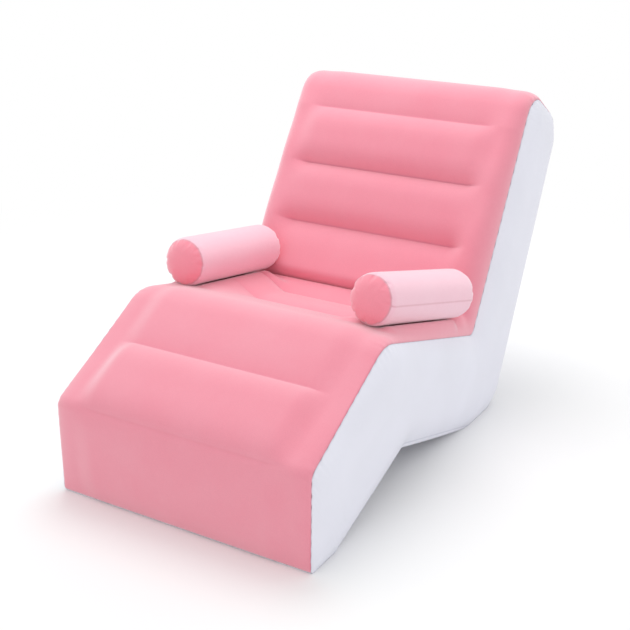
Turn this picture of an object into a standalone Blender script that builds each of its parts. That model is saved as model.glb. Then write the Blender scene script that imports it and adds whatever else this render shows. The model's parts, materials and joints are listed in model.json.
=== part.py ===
"""An inflatable lounge chair: a bent air chamber of welded sheets with inner webs, two armrest rolls and the valves.

Metres, +Z up. X runs across the chair and +Y from the foot to the back. Run it in Blender 4.5.
"""

import math

import bmesh
import bpy
import numpy as np
from mathutils import Matrix, Vector
from mathutils.bvhtree import BVHTree

# Side outline of the air chamber, at its side seams.
SEAT_WIDTH = 0.750
FOOT_HEIGHT = 0.257
FOOT_LEAN = 0.005
FOOT_LENGTH = 0.105
LEG_LENGTH = 0.391
LEG_SLOPE = math.radians(29.7)
LEG_UNDER_SLOPE = math.radians(20.6)
SEAT_LENGTH = 0.557
SEAT_SLOPE = math.radians(17.2)
SEAT_DEPTH = 0.270
BACK_LENGTH = 0.717
BACK_SLOPE = math.radians(60.4)
BACK_DEPTH_LOW = 0.290
BACK_DEPTH_TOP = 0.250

# Rounding of the outline's corners.
FOOT_EDGE_RADIUS = 0.012
SHIN_RADIUS = 0.030
KNEE_RADIUS = 0.100
HEADREST_RADIUS = 0.070
CREST_RADIUS = 0.085
HEEL_RADIUS = 0.100
BASE_RADIUS = 0.050
ARCH_RADIUS = 0.030
FOOT_REAR_RADIUS = 0.020

# How far the inflated skin stands out from the flat outline: each share is of the full rise.
SKIN = 0.0008
GAP = 0.0003
EDGE_ROLL = 0.045
FULL_RISE = 0.060
TOP_WELD_RISE_SHARES = (0.0, 0.14, 0.18, 0.05, 0.30, 1.0, 0.58, 0.58, 0.54, 0.04)
TOP_EDGE_RISE_SHARES = (0.0, 0.26, 0.05, 0.50, 0.74, 1.25, 1.20, 1.0, 0.68, 0.04)
TOP_LOBE_RISE_SHARES = (0.30, 0.40, 0.24, 0.20, 0.22, 0.42, 0.44, 0.44, 0.20)
LOBE_FULLNESS = 2.6
TOP_LOBE_END_SHARE = 0.50
LOW_WELD_RISE_SHARES = (0.0, 0.20, 0.25, 0.25, 0.25, 0.25, 0.36, 0.36, 0.36, 0.04)
LOW_EDGE_RISE_SHARES = (0.0, 0.25, 0.40, 0.40, 0.40, 0.30, 0.52, 0.52, 0.52, 0.04)
LOW_LOBE_RISE_SHARES = (0.0, 0.15, 0.15, 0.15, 0.10, 0.20, 0.20, 0.20, 0.20)
SIDE_BULGE = 0.020
WELD_INSET = 0.085
WELD_FADE = 0.040

# The weld lines: where each one lies along its stretch of the outline.
SHIN_WELD_SHARE = 0.55
SEAT_WELD_SHARES = (0.51, 0.78)
BACK_WELD_SHARES = (0.33, 0.59, 0.845)

# Steps of the skin's grid between two weld lines, from the foot's edge to the top of the back.
BAY_STEPS = (4, 5, 9, 4, 4, 6, 5, 5, 7)
EDGE_STEPS = 3
SIDE_STEPS = 5
BEND_WEIGHT = 0.060
PATH_STEP = 0.004
NORMAL_REACH = 0.090
WEB_THICKNESS = 0.0006

# Armrest rolls.
ROLL_LENGTH = 0.386
ROLL_RADIUS = 0.0675
ROLL_END_RADIUS = 0.063
ROLL_SHOULDER = 0.025
ROLL_DOME = 0.019
ROLL_SIDES = 32
RIGHT_ROLL_INSET = 0.064
RIGHT_ROLL_REACH = 0.264
RIGHT_ROLL_YAW = math.radians(8.5)
RIGHT_ROLL_TILT = math.radians(3.4)
LEFT_ROLL_INSET = 0.066
LEFT_ROLL_REACH = 0.290
LEFT_ROLL_YAW = math.radians(0.5)
LEFT_ROLL_TILT = math.radians(8.0)
STRIP_THICKNESS = 0.0016
STRIP_SHARE = 0.50
STRIP_SIDES = 2
STRIP_WIDTH_SHARE = 0.39
STRIP_ROWS = 12
STRIP_CELLS = 2
STRIP_CHECKS = 10
REST_PASSES = 4
SAMPLE_STEPS = 16

# Small valve in the rear disc of a roll.
STEM_FLANGE_RADIUS = 0.0110
STEM_FLANGE_THICKNESS = 0.0012
STEM_RADIUS = 0.0048
STEM_BORE = 0.0032
STEM_HEIGHT = 0.0050
STEM_DEPTH = 0.0100
PLUG_THICKNESS = 0.0014
PLUG_RADIUS = 0.0024
PLUG_DEPTH = 0.0025
PLUG_HINGE = 0.0080
PLUG_STRAP_WIDTH = 0.0040

# Main valve in the rear panel.
VALVE_INSET = 0.225
VALVE_FLANGE_RADIUS = 0.0280
VALVE_FLANGE_THICKNESS = 0.0026
VALVE_PROUD = 0.0010
COLLAR_BORE = 0.0170
COLLAR_WALL = 0.0020
COLLAR_DEPTH = 0.0120
GASKET_WIDTH = 0.0035
GASKET_THICKNESS = 0.0012
INSERT_FLANGE_RADIUS = 0.0225
INSERT_FLANGE_THICKNESS = 0.0020
THROAT_RADIUS = 0.0125
NECK_RADIUS = 0.0145
NECK_HEIGHT = 0.0070
LIP_WIDTH = 0.0025
LIP_THICKNESS = 0.0015
FLAP_THICKNESS = 0.0010
FLAP_OVERLAP = 0.0020
CAP_SKIRT = 0.0030
CAP_WALL = 0.0020
CAP_THICKNESS = 0.0018
CAP_HINGE = 0.0250
CAP_STRAP_WIDTH = 0.0080
CAP_STRAP_THICKNESS = 0.0014
VALVE_SIDES = 32
STEM_SIDES = 16

PINK = (0.83, 0.33, 0.40, 1.0)
PALE_PINK = (0.92, 0.56, 0.65, 1.0)
STRIP_PINK = (0.72, 0.24, 0.31, 1.0)
WHITE = (0.80, 0.81, 0.86, 1.0)
CLEAR = (0.70, 0.72, 0.74, 1.0)
BLACK = (0.03, 0.03, 0.03, 1.0)


def clear_scene():
    for obj in list(bpy.data.objects):
        bpy.data.objects.remove(obj, do_unlink=True)


def material(name, colour, roughness):
    made = bpy.data.materials.new(name)
    made.use_nodes = True
    shader = made.node_tree.nodes["Principled BSDF"]
    shader.inputs["Base Color"].default_value = colour
    shader.inputs["Roughness"].default_value = roughness
    shader.inputs["Metallic"].default_value = 0.0
    return made


def add_object(name, points, faces, finish, parent=None):
    """One closed body: doubled corners merged, empty faces dropped, faces turned outwards."""
    shape = bmesh.new()
    corners = [shape.verts.new(point) for point in points]
    for face in faces:
        shape.faces.new([corners[index] for index in face])
    bmesh.ops.remove_doubles(shape, verts=shape.verts, dist=SKIN * 1e-3)
    bmesh.ops.recalc_face_normals(shape, faces=shape.faces)
    mesh = bpy.data.meshes.new(name)
    shape.to_mesh(mesh)
    shape.free()
    mesh.shade_smooth()
    mesh.set_sharp_from_angle(angle=math.radians(35))
    mesh.materials.append(finish)
    obj = bpy.data.objects.new(name, mesh)
    bpy.context.collection.objects.link(obj)
    obj.parent = parent
    return obj


def add_empty(name, frame, parent=None):
    empty = bpy.data.objects.new(name, None)
    bpy.context.collection.objects.link(empty)
    empty.parent = parent
    empty.matrix_local = frame
    return empty


def modify(obj, kind, other):
    """Cuts the other object out of this one, or joins it on, with an exact Boolean."""
    other.hide_render = True
    other.display_type = "WIRE"
    boolean = obj.modifiers.new(other.name, "BOOLEAN")
    boolean.object = other
    boolean.operation = kind
    boolean.solver = "EXACT"


# Side outline


def unit(vector):
    return vector / np.linalg.norm(vector)


def heading(angle):
    """A step of one along a slope in the side plane, as (y, z)."""
    return np.array([math.cos(angle), math.sin(angle)])


def cross_point(start, along, other, other_along):
    """Where two straight lines of the side plane meet."""
    steps = np.linalg.solve(np.column_stack([along, -other_along]), other - start)
    return start + along * steps[0]


def side_corners():
    """Named corners of the side outline: (y, z) with each one's rounding."""
    floor = np.array([1.0, 0.0])
    seat_down = heading(SEAT_SLOPE - math.pi / 2) * np.array([-1.0, 1.0])
    back_out = heading(BACK_SLOPE - math.pi / 2)
    front = np.zeros(2)
    shin = np.array([FOOT_LEAN, FOOT_HEIGHT])
    knee = shin + heading(LEG_SLOPE) * LEG_LENGTH
    lumbar = knee + heading(-SEAT_SLOPE) * SEAT_LENGTH
    headrest = lumbar + heading(BACK_SLOPE) * BACK_LENGTH
    crest = headrest + back_out * BACK_DEPTH_TOP
    back_foot = lumbar + back_out * BACK_DEPTH_LOW
    seat_foot = knee + seat_down * SEAT_DEPTH
    heel = cross_point(crest, unit(back_foot - crest), front, floor)
    base = cross_point(seat_foot, heading(-SEAT_SLOPE), front, floor)
    foot_rear = np.array([FOOT_LENGTH, 0.0])
    arch = cross_point(foot_rear, heading(LEG_UNDER_SLOPE), seat_foot, heading(-SEAT_SLOPE))
    return {
        "front": (front, FOOT_EDGE_RADIUS),
        "shin": (shin, SHIN_RADIUS),
        "knee": (knee, KNEE_RADIUS),
        "lumbar": (lumbar, 0.0),
        "headrest": (headrest, HEADREST_RADIUS),
        "crest": (crest, CREST_RADIUS),
        "heel": (heel, HEEL_RADIUS),
        "base": (base, BASE_RADIUS),
        "arch": (arch, ARCH_RADIUS),
        "foot_rear": (foot_rear, FOOT_REAR_RADIUS),
    }


def rounded_corner(before, corner, after, radius):
    """Points of the arc that rounds one corner, limited to under half of the shorter side."""
    inward, outward = before - corner, after - corner
    reach = min(np.linalg.norm(inward), np.linalg.norm(outward)) * 0.48
    inward, outward = unit(inward), unit(outward)
    half = math.acos(float(np.clip(inward @ outward, -1.0, 1.0))) / 2
    cut = min(radius / math.tan(half), reach)
    if cut <= 0:
        return [corner]
    radius = cut * math.tan(half)
    centre = corner + unit(inward + outward) * (radius / math.sin(half))
    first, last = corner + inward * cut - centre, corner + outward * cut - centre
    turn = math.atan2(first[0] * last[1] - first[1] * last[0], float(first @ last))
    count = max(2, 2 * math.ceil(abs(turn) * radius / PATH_STEP / 2))
    points = []
    for step in range(count + 1):
        angle = turn * step / count
        cos, sin = math.cos(angle), math.sin(angle)
        points.append(centre + np.array([first[0] * cos - first[1] * sin, first[0] * sin + first[1] * cos]))
    return points


class Path:
    """The closed side outline, read by the length along it from the foot's lower front edge."""

    def __init__(self, corners):
        names = list(corners)
        places = [corners[name][0] for name in names]
        radii = [corners[name][1] for name in names]
        points, middles = [], {}
        for index, name in enumerate(names):
            before, after = places[index - 1], places[(index + 1) % len(names)]
            arc = rounded_corner(before, places[index], after, radii[index])
            middles[name] = len(points) + len(arc) // 2
            points += arc
        start = middles[names[0]]
        points = points[start:] + points[:start]
        points.append(points[0])
        self.points = np.array(points)
        steps = np.linalg.norm(np.diff(self.points, axis=0), axis=1)
        self.lengths = np.concatenate([[0.0], np.cumsum(steps)])
        self.total = self.lengths[-1]
        self.corner = {name: self.lengths[(middles[name] - start) % (len(points) - 1)] for name in names}
        self.weigh()

    def weigh(self):
        """Length with an extra share wherever the outline bends, so that bends get more grid steps."""
        tangents = np.diff(self.points, axis=0)
        angles = np.unwrap(np.arctan2(tangents[:, 1], tangents[:, 0]))
        turns = np.concatenate([[0.0], np.abs(np.diff(angles)), [0.0]])
        spread = self.lengths + BEND_WEIGHT * np.cumsum(turns)
        self.weights = spread

    def at(self, length):
        length = np.mod(length, self.total)
        return np.array([np.interp(length, self.lengths, self.points[:, axis]) for axis in (0, 1)])

    def nearest(self, point):
        """Length at the outline's nearest place to a point."""
        steps = np.diff(self.points, axis=0)
        shares = ((point - self.points[:-1]) * steps).sum(axis=1) / (steps**2).sum(axis=1)
        shares = np.clip(shares, 0.0, 1.0)
        feet = self.points[:-1] + steps * shares[:, None]
        index = np.argmin(np.linalg.norm(feet - point, axis=1))
        return self.lengths[index] + shares[index] * np.linalg.norm(steps[index])

    def direction(self, length):
        ahead = self.at(length + PATH_STEP / 2)
        return ahead - self.at(length - PATH_STEP / 2)

    def normal(self, length):
        """Outward normal, averaged over a stretch on either side so that it turns slowly past a corner."""
        total = np.zeros(2)
        for share in np.linspace(-1.0, 1.0, 37):
            along = unit(self.direction(length + share * NORMAL_REACH))
            total += np.array([-along[1], along[0]]) * (1.0 - abs(share) * 0.5)
        return unit(total)

    def between(self, start, end, steps):
        """Lengths from start to end, closer together in the bends."""
        first, last = np.interp([start, end], self.lengths, self.weights)
        return np.interp(np.linspace(first, last, steps + 1), self.weights, self.lengths)


def weld_lengths(path, corners):
    """Where each weld line lies: lengths along the outline for the top sheet, and for the web's foot below."""
    place = {name: value[0] for name, value in corners.items()}
    seat_foot = place["knee"] - path.normal(path.nearest((place["knee"] + place["lumbar"]) / 2)) * SEAT_DEPTH
    seat_end = seat_foot + place["lumbar"] - place["knee"]
    back_foot = cross_point(
        place["lumbar"], heading(BACK_SLOPE - math.pi / 2), place["heel"], unit(place["crest"] - place["heel"])
    )
    top = [path.corner["shin"]]
    low = [path.corner["foot_rear"]]
    leg = place["shin"] + (place["knee"] - place["shin"]) * SHIN_WELD_SHARE
    leg_foot = cross_point(
        leg, heading(LEG_SLOPE - math.pi / 2), place["foot_rear"], unit(place["arch"] - place["foot_rear"])
    )
    top.append(path.nearest(leg))
    low.append(path.nearest(leg_foot))
    for share in SEAT_WELD_SHARES:
        top.append(path.nearest(place["knee"] + (place["lumbar"] - place["knee"]) * share))
        low.append(path.nearest(seat_foot + (seat_end - seat_foot) * share))
    top.append(path.corner["lumbar"])
    low.append(path.nearest((place["base"] + place["heel"]) / 2))
    for share in BACK_WELD_SHARES:
        top.append(path.nearest(place["lumbar"] + (place["headrest"] - place["lumbar"]) * share))
        low.append(path.nearest(back_foot + (place["crest"] - back_foot) * share))
    return top, low


# Skin of the air chamber


def stations(path, welds, start, end):
    """Lengths of the grid's cross lines, with one on each weld line, and the bay and place in it of each."""
    marks = [start, *welds, end]
    lengths, places = [start], [(0, 0.0)]
    for bay, steps in enumerate(BAY_STEPS):
        stretch = path.between(marks[bay], marks[bay + 1], steps)
        lengths += list(stretch[1:])
        places += [(bay, step / steps) for step in range(1, steps + 1)]
    return lengths, places


def swelling(share):
    """Round swelling across a bay: 0 at both ends, 1 half way."""
    return 1.0 - abs(2.0 * share - 1.0) ** LOBE_FULLNESS


def lobe(bay, share):
    """Swelling between two weld lines. The last one ends at the top edge of the back."""
    if bay == len(BAY_STEPS) - 1:
        return swelling(min(1.0, share / TOP_LOBE_END_SHARE))
    return swelling(share)


def ease(bay, share):
    """Share of the way from one weld line to the next, quicker next to the two ends of the sheet."""
    if bay in (0, len(BAY_STEPS) - 1):
        return math.sin(math.pi / 2 * share)
    return (1.0 - math.cos(math.pi * share)) / 2


def columns():
    """Places across the sheet, from the left seam to the right one, with the share of the full rise at each."""
    half = SEAT_WIDTH / 2
    rows = []
    for step in range(EDGE_STEPS + 1):
        angle = math.pi / 2 * step / EDGE_STEPS
        rows.append((half - EDGE_ROLL * (1.0 - math.cos(angle)), math.sin(angle), 0.0))
    rows.append((half - WELD_INSET + WELD_FADE / 2, 1.0, 0.45))
    rows.append((half - WELD_INSET - WELD_FADE / 2, 1.0, 1.0))
    left = [(-x, rise, weld) for x, rise, weld in rows]
    return left + [(0.0, 1.0, 1.0)] + rows[::-1]


def sheet_grid(path, lengths, places, weld_shares, edge_shares, lobe_shares):
    """Points of one crowned sheet, from how far it stands out at the weld lines, beside its edges and in between."""
    grid = []
    for length, (bay, share) in zip(lengths, places):
        base = path.at(length)
        normal = path.normal(length)
        eased = ease(bay, share)
        weld = weld_shares[bay] + (weld_shares[bay + 1] - weld_shares[bay]) * eased
        edge = edge_shares[bay] + (edge_shares[bay + 1] - edge_shares[bay]) * eased
        crown = weld + lobe_shares[bay] * lobe(bay, share)
        row = []
        for x, rise, mask in columns():
            y, z = base + normal * FULL_RISE * rise * (edge + (crown - edge) * mask)
            row.append((x, y, max(z, 0.0)))
        grid.append(row)
    return np.array(grid)


def side_grid(path, top_lengths, low_lengths, side):
    """Points of a side panel, from the top sheet's seam to the lower one, swelling outwards between them."""
    grid = []
    for top_length, low_length in zip(top_lengths, low_lengths):
        top, low = path.at(top_length), path.at(low_length)
        height = np.linalg.norm(top - low)
        bulge = SIDE_BULGE * min(1.0, height / (SEAT_DEPTH * 0.8))
        row = []
        for step in range(SIDE_STEPS + 1):
            share = (1.0 - math.cos(math.pi * step / SIDE_STEPS)) / 2
            y, z = top + (low - top) * share
            row.append((side * (SEAT_WIDTH / 2 + bulge * swelling(share)), y, z))
        grid.append(row)
    return np.array(grid)


def skin():
    """The four crowned sheets of the chamber as grids of points, moved so that the whole is centred on Y."""
    corners = side_corners()
    path = Path(corners)
    top_welds, low_welds = weld_lengths(path, corners)
    tip = path.corner["crest"]
    top_lengths, places = stations(path, top_welds, 0.0, tip)
    low_lengths, _ = stations(path, low_welds, path.total, tip)
    top_rises = (TOP_WELD_RISE_SHARES, TOP_EDGE_RISE_SHARES, TOP_LOBE_RISE_SHARES)
    low_rises = (LOW_WELD_RISE_SHARES, LOW_EDGE_RISE_SHARES, LOW_LOBE_RISE_SHARES)
    grids = {
        "top": sheet_grid(path, top_lengths, places, *top_rises),
        "low": sheet_grid(path, low_lengths, places, *low_rises),
        "left": side_grid(path, top_lengths, low_lengths, -1),
        "right": side_grid(path, top_lengths, low_lengths, 1),
    }
    reach = np.concatenate([grid.reshape(-1, 3) for grid in grids.values()])[:, 1]
    shift = np.array([0.0, -(reach.min() + reach.max()) / 2, 0.0])
    for name in grids:
        grids[name] = grids[name] + shift
    return grids, shift


def key_of(point):
    return tuple(np.round(point, 6))


def corner_normals(grids):
    """The chamber's outward normal at every grid point, averaged over all the sheets that meet there."""
    turned = {"top": -1.0, "low": 1.0, "left": 1.0, "right": -1.0}
    totals = {}
    for name, grid in grids.items():
        down = grid[1:, :-1] - grid[:-1, :-1]
        across = grid[:-1, 1:] - grid[:-1, :-1]
        far_down = grid[1:, 1:] - grid[:-1, 1:]
        far_across = grid[1:, 1:] - grid[1:, :-1]
        normals = (np.cross(down, across) + np.cross(far_down, far_across)) * turned[name]
        rows, cells = normals.shape[:2]
        for row in range(rows):
            for cell in range(cells):
                for corner in ((0, 0), (1, 0), (0, 1), (1, 1)):
                    key = key_of(grid[row + corner[0], cell + corner[1]])
                    totals[key] = totals.get(key, np.zeros(3)) + normals[row, cell]
    return totals


def normals_of(grid, totals):
    flat = [unit(totals[key_of(point)]) for point in grid.reshape(-1, 3)]
    return np.array(flat).reshape(grid.shape)


def drawn_in(grid):
    """The grid with its border pulled in by half a gap, which leaves the gap between two sheets at a seam."""
    grid = grid.copy()
    for lines in (grid.transpose(1, 0, 2), grid):
        for edge, inner in ((0, 1), (-1, -2)):
            step = lines[inner] - lines[edge]
            size = np.linalg.norm(step, axis=1, keepdims=True)
            lines[edge] += step * np.where(size > GAP, GAP / 2 / np.maximum(size, GAP), 0.0)
    return grid


def shell_faces(rows, cells):
    """Triangles of a closed thin shell: outer grid points first, then the inner ones in the same order."""
    faces = []
    width = cells + 1
    inner = (rows + 1) * width

    def index(row, cell):
        return row * width + cell

    for row in range(rows):
        for cell in range(cells):
            a, b = index(row, cell), index(row + 1, cell)
            c, d = index(row + 1, cell + 1), index(row, cell + 1)
            faces += [(a, b, c), (a, c, d), (a + inner, c + inner, b + inner), (a + inner, d + inner, c + inner)]
    border = [index(row, 0) for row in range(rows + 1)]
    border += [index(rows, cell) for cell in range(1, cells + 1)]
    border += [index(row, cells) for row in range(rows - 1, -1, -1)]
    border += [index(0, cell) for cell in range(cells - 1, 0, -1)]
    for first, second in zip(border, border[1:] + border[:1]):
        faces += [(second, first, first + inner), (second, first + inner, second + inner)]
    return faces


def add_sheet(name, outer, inner, finish, parent=None):
    """A thin closed shell between two grids of points."""
    outer, inner = drawn_in(outer), drawn_in(inner)
    rows, cells = outer.shape[0] - 1, outer.shape[1] - 1
    points = np.concatenate([outer.reshape(-1, 3), inner.reshape(-1, 3)])
    return add_object(name, points.tolist(), shell_faces(rows, cells), finish, parent)


def station_of(bay):
    """Grid line on which the given weld line lies, counted from the foot's edge."""
    return sum(BAY_STEPS[: bay + 1])


def add_chamber(grids, totals, finishes):
    """The five outer sheets. The lower grid is cut at the heel into the underside and the rear panel."""
    inner = {name: grid - normals_of(grid, totals) * SKIN for name, grid in grids.items()}
    heel = station_of(4) + BAY_STEPS[5] // 2
    add_sheet("top_sheet", grids["top"], inner["top"], finishes["pink"])
    add_sheet("side_panel_left", grids["left"], inner["left"], finishes["white"])
    add_sheet("side_panel_right", grids["right"], inner["right"], finishes["white"])
    add_sheet("underside_panel", grids["low"][: heel + 1], inner["low"][: heel + 1], finishes["white"])
    rear = add_sheet("rear_panel", grids["low"][heel:], inner["low"][heel:], finishes["white"])
    return inner, rear


def add_web(name, inner, bay, finish):
    """A flat strip from the top sheet's weld line down to the weld line of the sheet below."""
    station = station_of(bay)
    middle = inner["top"].shape[1] // 2
    top, low = inner["top"][station, middle], inner["low"][station, middle]
    along = unit(top - low)
    across = unit(np.cross(along, [1.0, 0.0, 0.0])) * WEB_THICKNESS / 2
    half = np.array([SEAT_WIDTH / 2 - WELD_INSET - WELD_FADE / 2, 0.0, 0.0])
    points = []
    for end in (low + along * GAP * 2, top - along * GAP * 2):
        for side in (-half, half):
            points += [end + side - across, end + side + across]
    faces = [(0, 1, 3, 2), (4, 6, 7, 5), (0, 2, 6, 4), (1, 5, 7, 3), (0, 4, 5, 1), (2, 3, 7, 6)]
    add_object(name, [tuple(point) for point in points], faces, finish)


# Turned pieces


def add_turned(name, profile, sides, finish, parent=None):
    """A closed outline of (radius, height) turned about the local Z axis."""
    points, faces, rings = [], [], []
    for radius, height in profile:
        ring = []
        for step in range(sides if radius > 0 else 1):
            angle = 2 * math.pi * step / sides
            ring.append(len(points))
            points.append((radius * math.cos(angle), radius * math.sin(angle), height))
        rings.append(ring * (sides if radius == 0 else 1))
    for here, there in zip(rings, rings[1:] + rings[:1]):
        for step in range(sides):
            after = (step + 1) % sides
            face = [here[step], here[after], there[after], there[step]]
            face = [corner for place, corner in enumerate(face) if corner not in face[:place]]
            if len(face) > 2:
                faces.append(face)
    return add_object(name, points, faces, finish, parent)


def add_block(name, low, high, finish, parent=None):
    """A box between two opposite corners."""
    points = [(x, y, z) for x in (low[0], high[0]) for y in (low[1], high[1]) for z in (low[2], high[2])]
    faces = [(0, 1, 3, 2), (4, 6, 7, 5), (0, 4, 5, 1), (2, 3, 7, 6), (0, 2, 6, 4), (1, 5, 7, 3)]
    return add_object(name, points, faces, finish, parent)


# Armrest rolls


def roll_frame(x, reach, yaw, tilt, shift):
    """Frame of a roll on the bare seat line: local X along the roll to the rear, local Z away from the seat."""
    knee = side_corners()["knee"][0]
    y, z = knee + heading(-SEAT_SLOPE) * reach
    slope = tilt - SEAT_SLOPE
    along = Vector((math.sin(yaw), math.cos(yaw) * math.cos(slope), math.cos(yaw) * math.sin(slope)))
    side = along.cross(Vector((0.0, 0.0, 1.0))).normalized()
    up = side.cross(along)
    turn = Matrix((along, -side, up)).transposed().to_4x4()
    return Matrix.Translation(Vector((x, y + shift[1], z))) @ turn


def surface_samples(grid):
    """Points spread closely over the triangles of a grid."""
    found = []
    shares = np.linspace(0.0, 1.0, SAMPLE_STEPS + 1)
    for row in range(grid.shape[0] - 1):
        for cell in range(grid.shape[1] - 1):
            a, b = grid[row, cell], grid[row + 1, cell]
            c, d = grid[row + 1, cell + 1], grid[row, cell + 1]
            for one, two, three in ((a, b, c), (a, c, d)):
                for u in shares:
                    v = shares[shares <= 1.0 - u + SKIN][:, None]
                    found.append(one + (two - one) * u + (three - one) * v)
    return np.concatenate(found)


def resting_height(frame, samples, outline):
    """How far along the seat's normal a turned outline is set so that it just clears the surface under it."""
    turn = np.array(frame.to_3x3())
    radii, places = zip(*outline)
    local = (samples - np.array(frame.translation)) @ turn
    local = local[(local[:, 0] > places[0]) & (local[:, 0] < places[-1])]
    lift = np.array([0.0, math.sin(SEAT_SLOPE), math.cos(SEAT_SLOPE)]) @ turn
    rise = lift[1:] @ lift[1:]
    half = local[:, 1:] @ lift[1:]
    rest = (local[:, 1:] ** 2).sum(axis=1) - (np.interp(local[:, 0], places, radii) + GAP) ** 2
    inside = half**2 - rise * rest
    reached = half[inside > 0] + np.sqrt(inside[inside > 0])
    return float(reached.max() / rise)


def height_on(heights, row, cell):
    """Height between a grid's points, on the same two triangles that each of its cells is split into."""
    first, left = min(int(row), heights.shape[0] - 2), min(int(cell), heights.shape[1] - 2)
    down, across = row - first, cell - left
    near, far = heights[first, left], heights[first + 1, left + 1]
    if down >= across:
        turn = heights[first + 1, left]
        return near + (turn - near) * down + (far - turn) * across
    turn = heights[first, left + 1]
    return near + (turn - near) * across + (far - turn) * down


def rested(frame, seat, strip):
    """The frame of a roll raised so that the roll rests on the seat, or its hook strip on the loop strip."""
    up = Vector((0.0, math.sin(SEAT_SLOPE), math.cos(SEAT_SLOPE)))
    radius = ROLL_RADIUS + GAP + STRIP_THICKNESS
    end = ROLL_LENGTH * STRIP_SHARE / 2
    seat, strip = surface_samples(seat), surface_samples(strip)
    for _ in range(REST_PASSES):
        bare = resting_height(frame, seat, roll_profile())
        on_strip = resting_height(frame, strip, [(radius, -end), (radius, end)])
        frame = Matrix.Translation(up * max(bare, on_strip)) @ frame
    return frame


def add_seat_strip(name, top, frame, finish):
    """The loop strip bonded to the seat under a roll: it follows the seat, and clears it at every point."""
    count = top.shape[0] * top.shape[1]
    points = [Vector(point) for point in top.reshape(-1, 3)]
    faces = [face for face in shell_faces(top.shape[0] - 1, top.shape[1] - 1) if max(face) < count]
    seat = BVHTree.FromPolygons(points, faces)
    up = Vector((0.0, math.sin(SEAT_SLOPE), math.cos(SEAT_SLOPE)))
    along = frame.to_3x3().col[0]
    along = (along - up * along.dot(up)).normalized() * ROLL_LENGTH * STRIP_SHARE / 2
    across = up.cross(along).normalized() * ROLL_RADIUS * STRIP_WIDTH_SHARE / 2

    def place_and_height(row, cell):
        place = frame.translation + along * (2 * row / STRIP_ROWS - 1) + across * (2 * cell / STRIP_CELLS - 1)
        start = place + up * SEAT_DEPTH
        return place, SEAT_DEPTH - (seat.ray_cast(start, -up)[0] - start).length

    grid = [[place_and_height(row, cell) for cell in range(STRIP_CELLS + 1)] for row in range(STRIP_ROWS + 1)]
    heights = np.array([[height for _, height in line] for line in grid])
    clear = 0.0
    for row in np.linspace(0.0, STRIP_ROWS, STRIP_ROWS * STRIP_CHECKS + 1):
        for cell in np.linspace(0.0, STRIP_CELLS, STRIP_CELLS * STRIP_CHECKS + 1):
            clear = max(clear, place_and_height(row, cell)[1] - height_on(heights, row, cell))
    level = [[place + up * (height + clear + GAP) for place, height in line] for line in grid]
    inner = np.array([[tuple(point) for point in line] for line in level])
    outer = inner + np.array(up) * STRIP_THICKNESS
    add_sheet(name, outer, inner, finish)
    return outer


def barrel_profile():
    """Outside of a roll from its front seam to its rear one: (radius, place along it)."""
    half = ROLL_LENGTH / 2
    shoulder = half - ROLL_SHOULDER
    middle = (ROLL_RADIUS + ROLL_END_RADIUS * 0.6) / 1.6
    line = [(ROLL_END_RADIUS, half), (middle, half - ROLL_SHOULDER * 0.3), (ROLL_RADIUS, shoulder)]
    return [(radius, -place) for radius, place in line] + line[::-1]


def disc_profile(hole):
    """Outside of an end disc from its seam inwards: (radius, place along the roll)."""
    profile = []
    for share in (0.0, 0.30, 0.62, 1.0):
        radius = ROLL_END_RADIUS + (hole - ROLL_END_RADIUS) * share
        place = ROLL_LENGTH / 2 + GAP + ROLL_DOME * (1.0 - (radius / ROLL_END_RADIUS) ** 2)
        profile.append((radius, place))
    return profile


def roll_profile():
    """Outside of a whole roll, end discs included, from front to rear."""
    disc = disc_profile(0.0)
    return [(radius, -place) for radius, place in disc[::-1]] + barrel_profile() + disc


def add_barrel(name, finish, parent):
    outside = barrel_profile()
    inside = [(radius - SKIN, place) for radius, place in outside[::-1]]
    barrel = add_turned(name, outside + inside, ROLL_SIDES, finish, parent)
    barrel.matrix_local = Matrix.Rotation(math.pi / 2, 4, "Y")
    return barrel


def add_disc(name, end, hole, finish, parent):
    """A domed end disc. The hole lets the valve stem through, and is zero at the front."""
    outside = disc_profile(hole)
    inside = [(radius, place - SKIN) for radius, place in outside]
    inside[0] = (ROLL_END_RADIUS - SKIN, ROLL_LENGTH / 2 + GAP)
    disc = add_turned(name, outside + inside[::-1], ROLL_SIDES, finish, parent)
    disc.matrix_local = Matrix.Rotation(math.pi / 2 * end, 4, "Y")
    return disc


def add_hook_strip(name, finish, parent):
    """The hook strip on the underside of a roll: an arc that follows the barrel's facets."""
    half = ROLL_LENGTH * STRIP_SHARE / 2
    grids = []
    for offset in (GAP + STRIP_THICKNESS, GAP):
        lines = []
        for place in (-half, 0.0, half):
            line = []
            for step in range(-STRIP_SIDES // 2, STRIP_SIDES // 2 + 1):
                angle = -math.pi / 2 + 2 * math.pi * step / ROLL_SIDES
                radius = ROLL_RADIUS + offset
                line.append((place, radius * math.cos(angle), radius * math.sin(angle)))
            lines.append(line)
        grids.append(np.array(lines))
    add_sheet(name, grids[0], grids[1], finish, parent)


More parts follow.
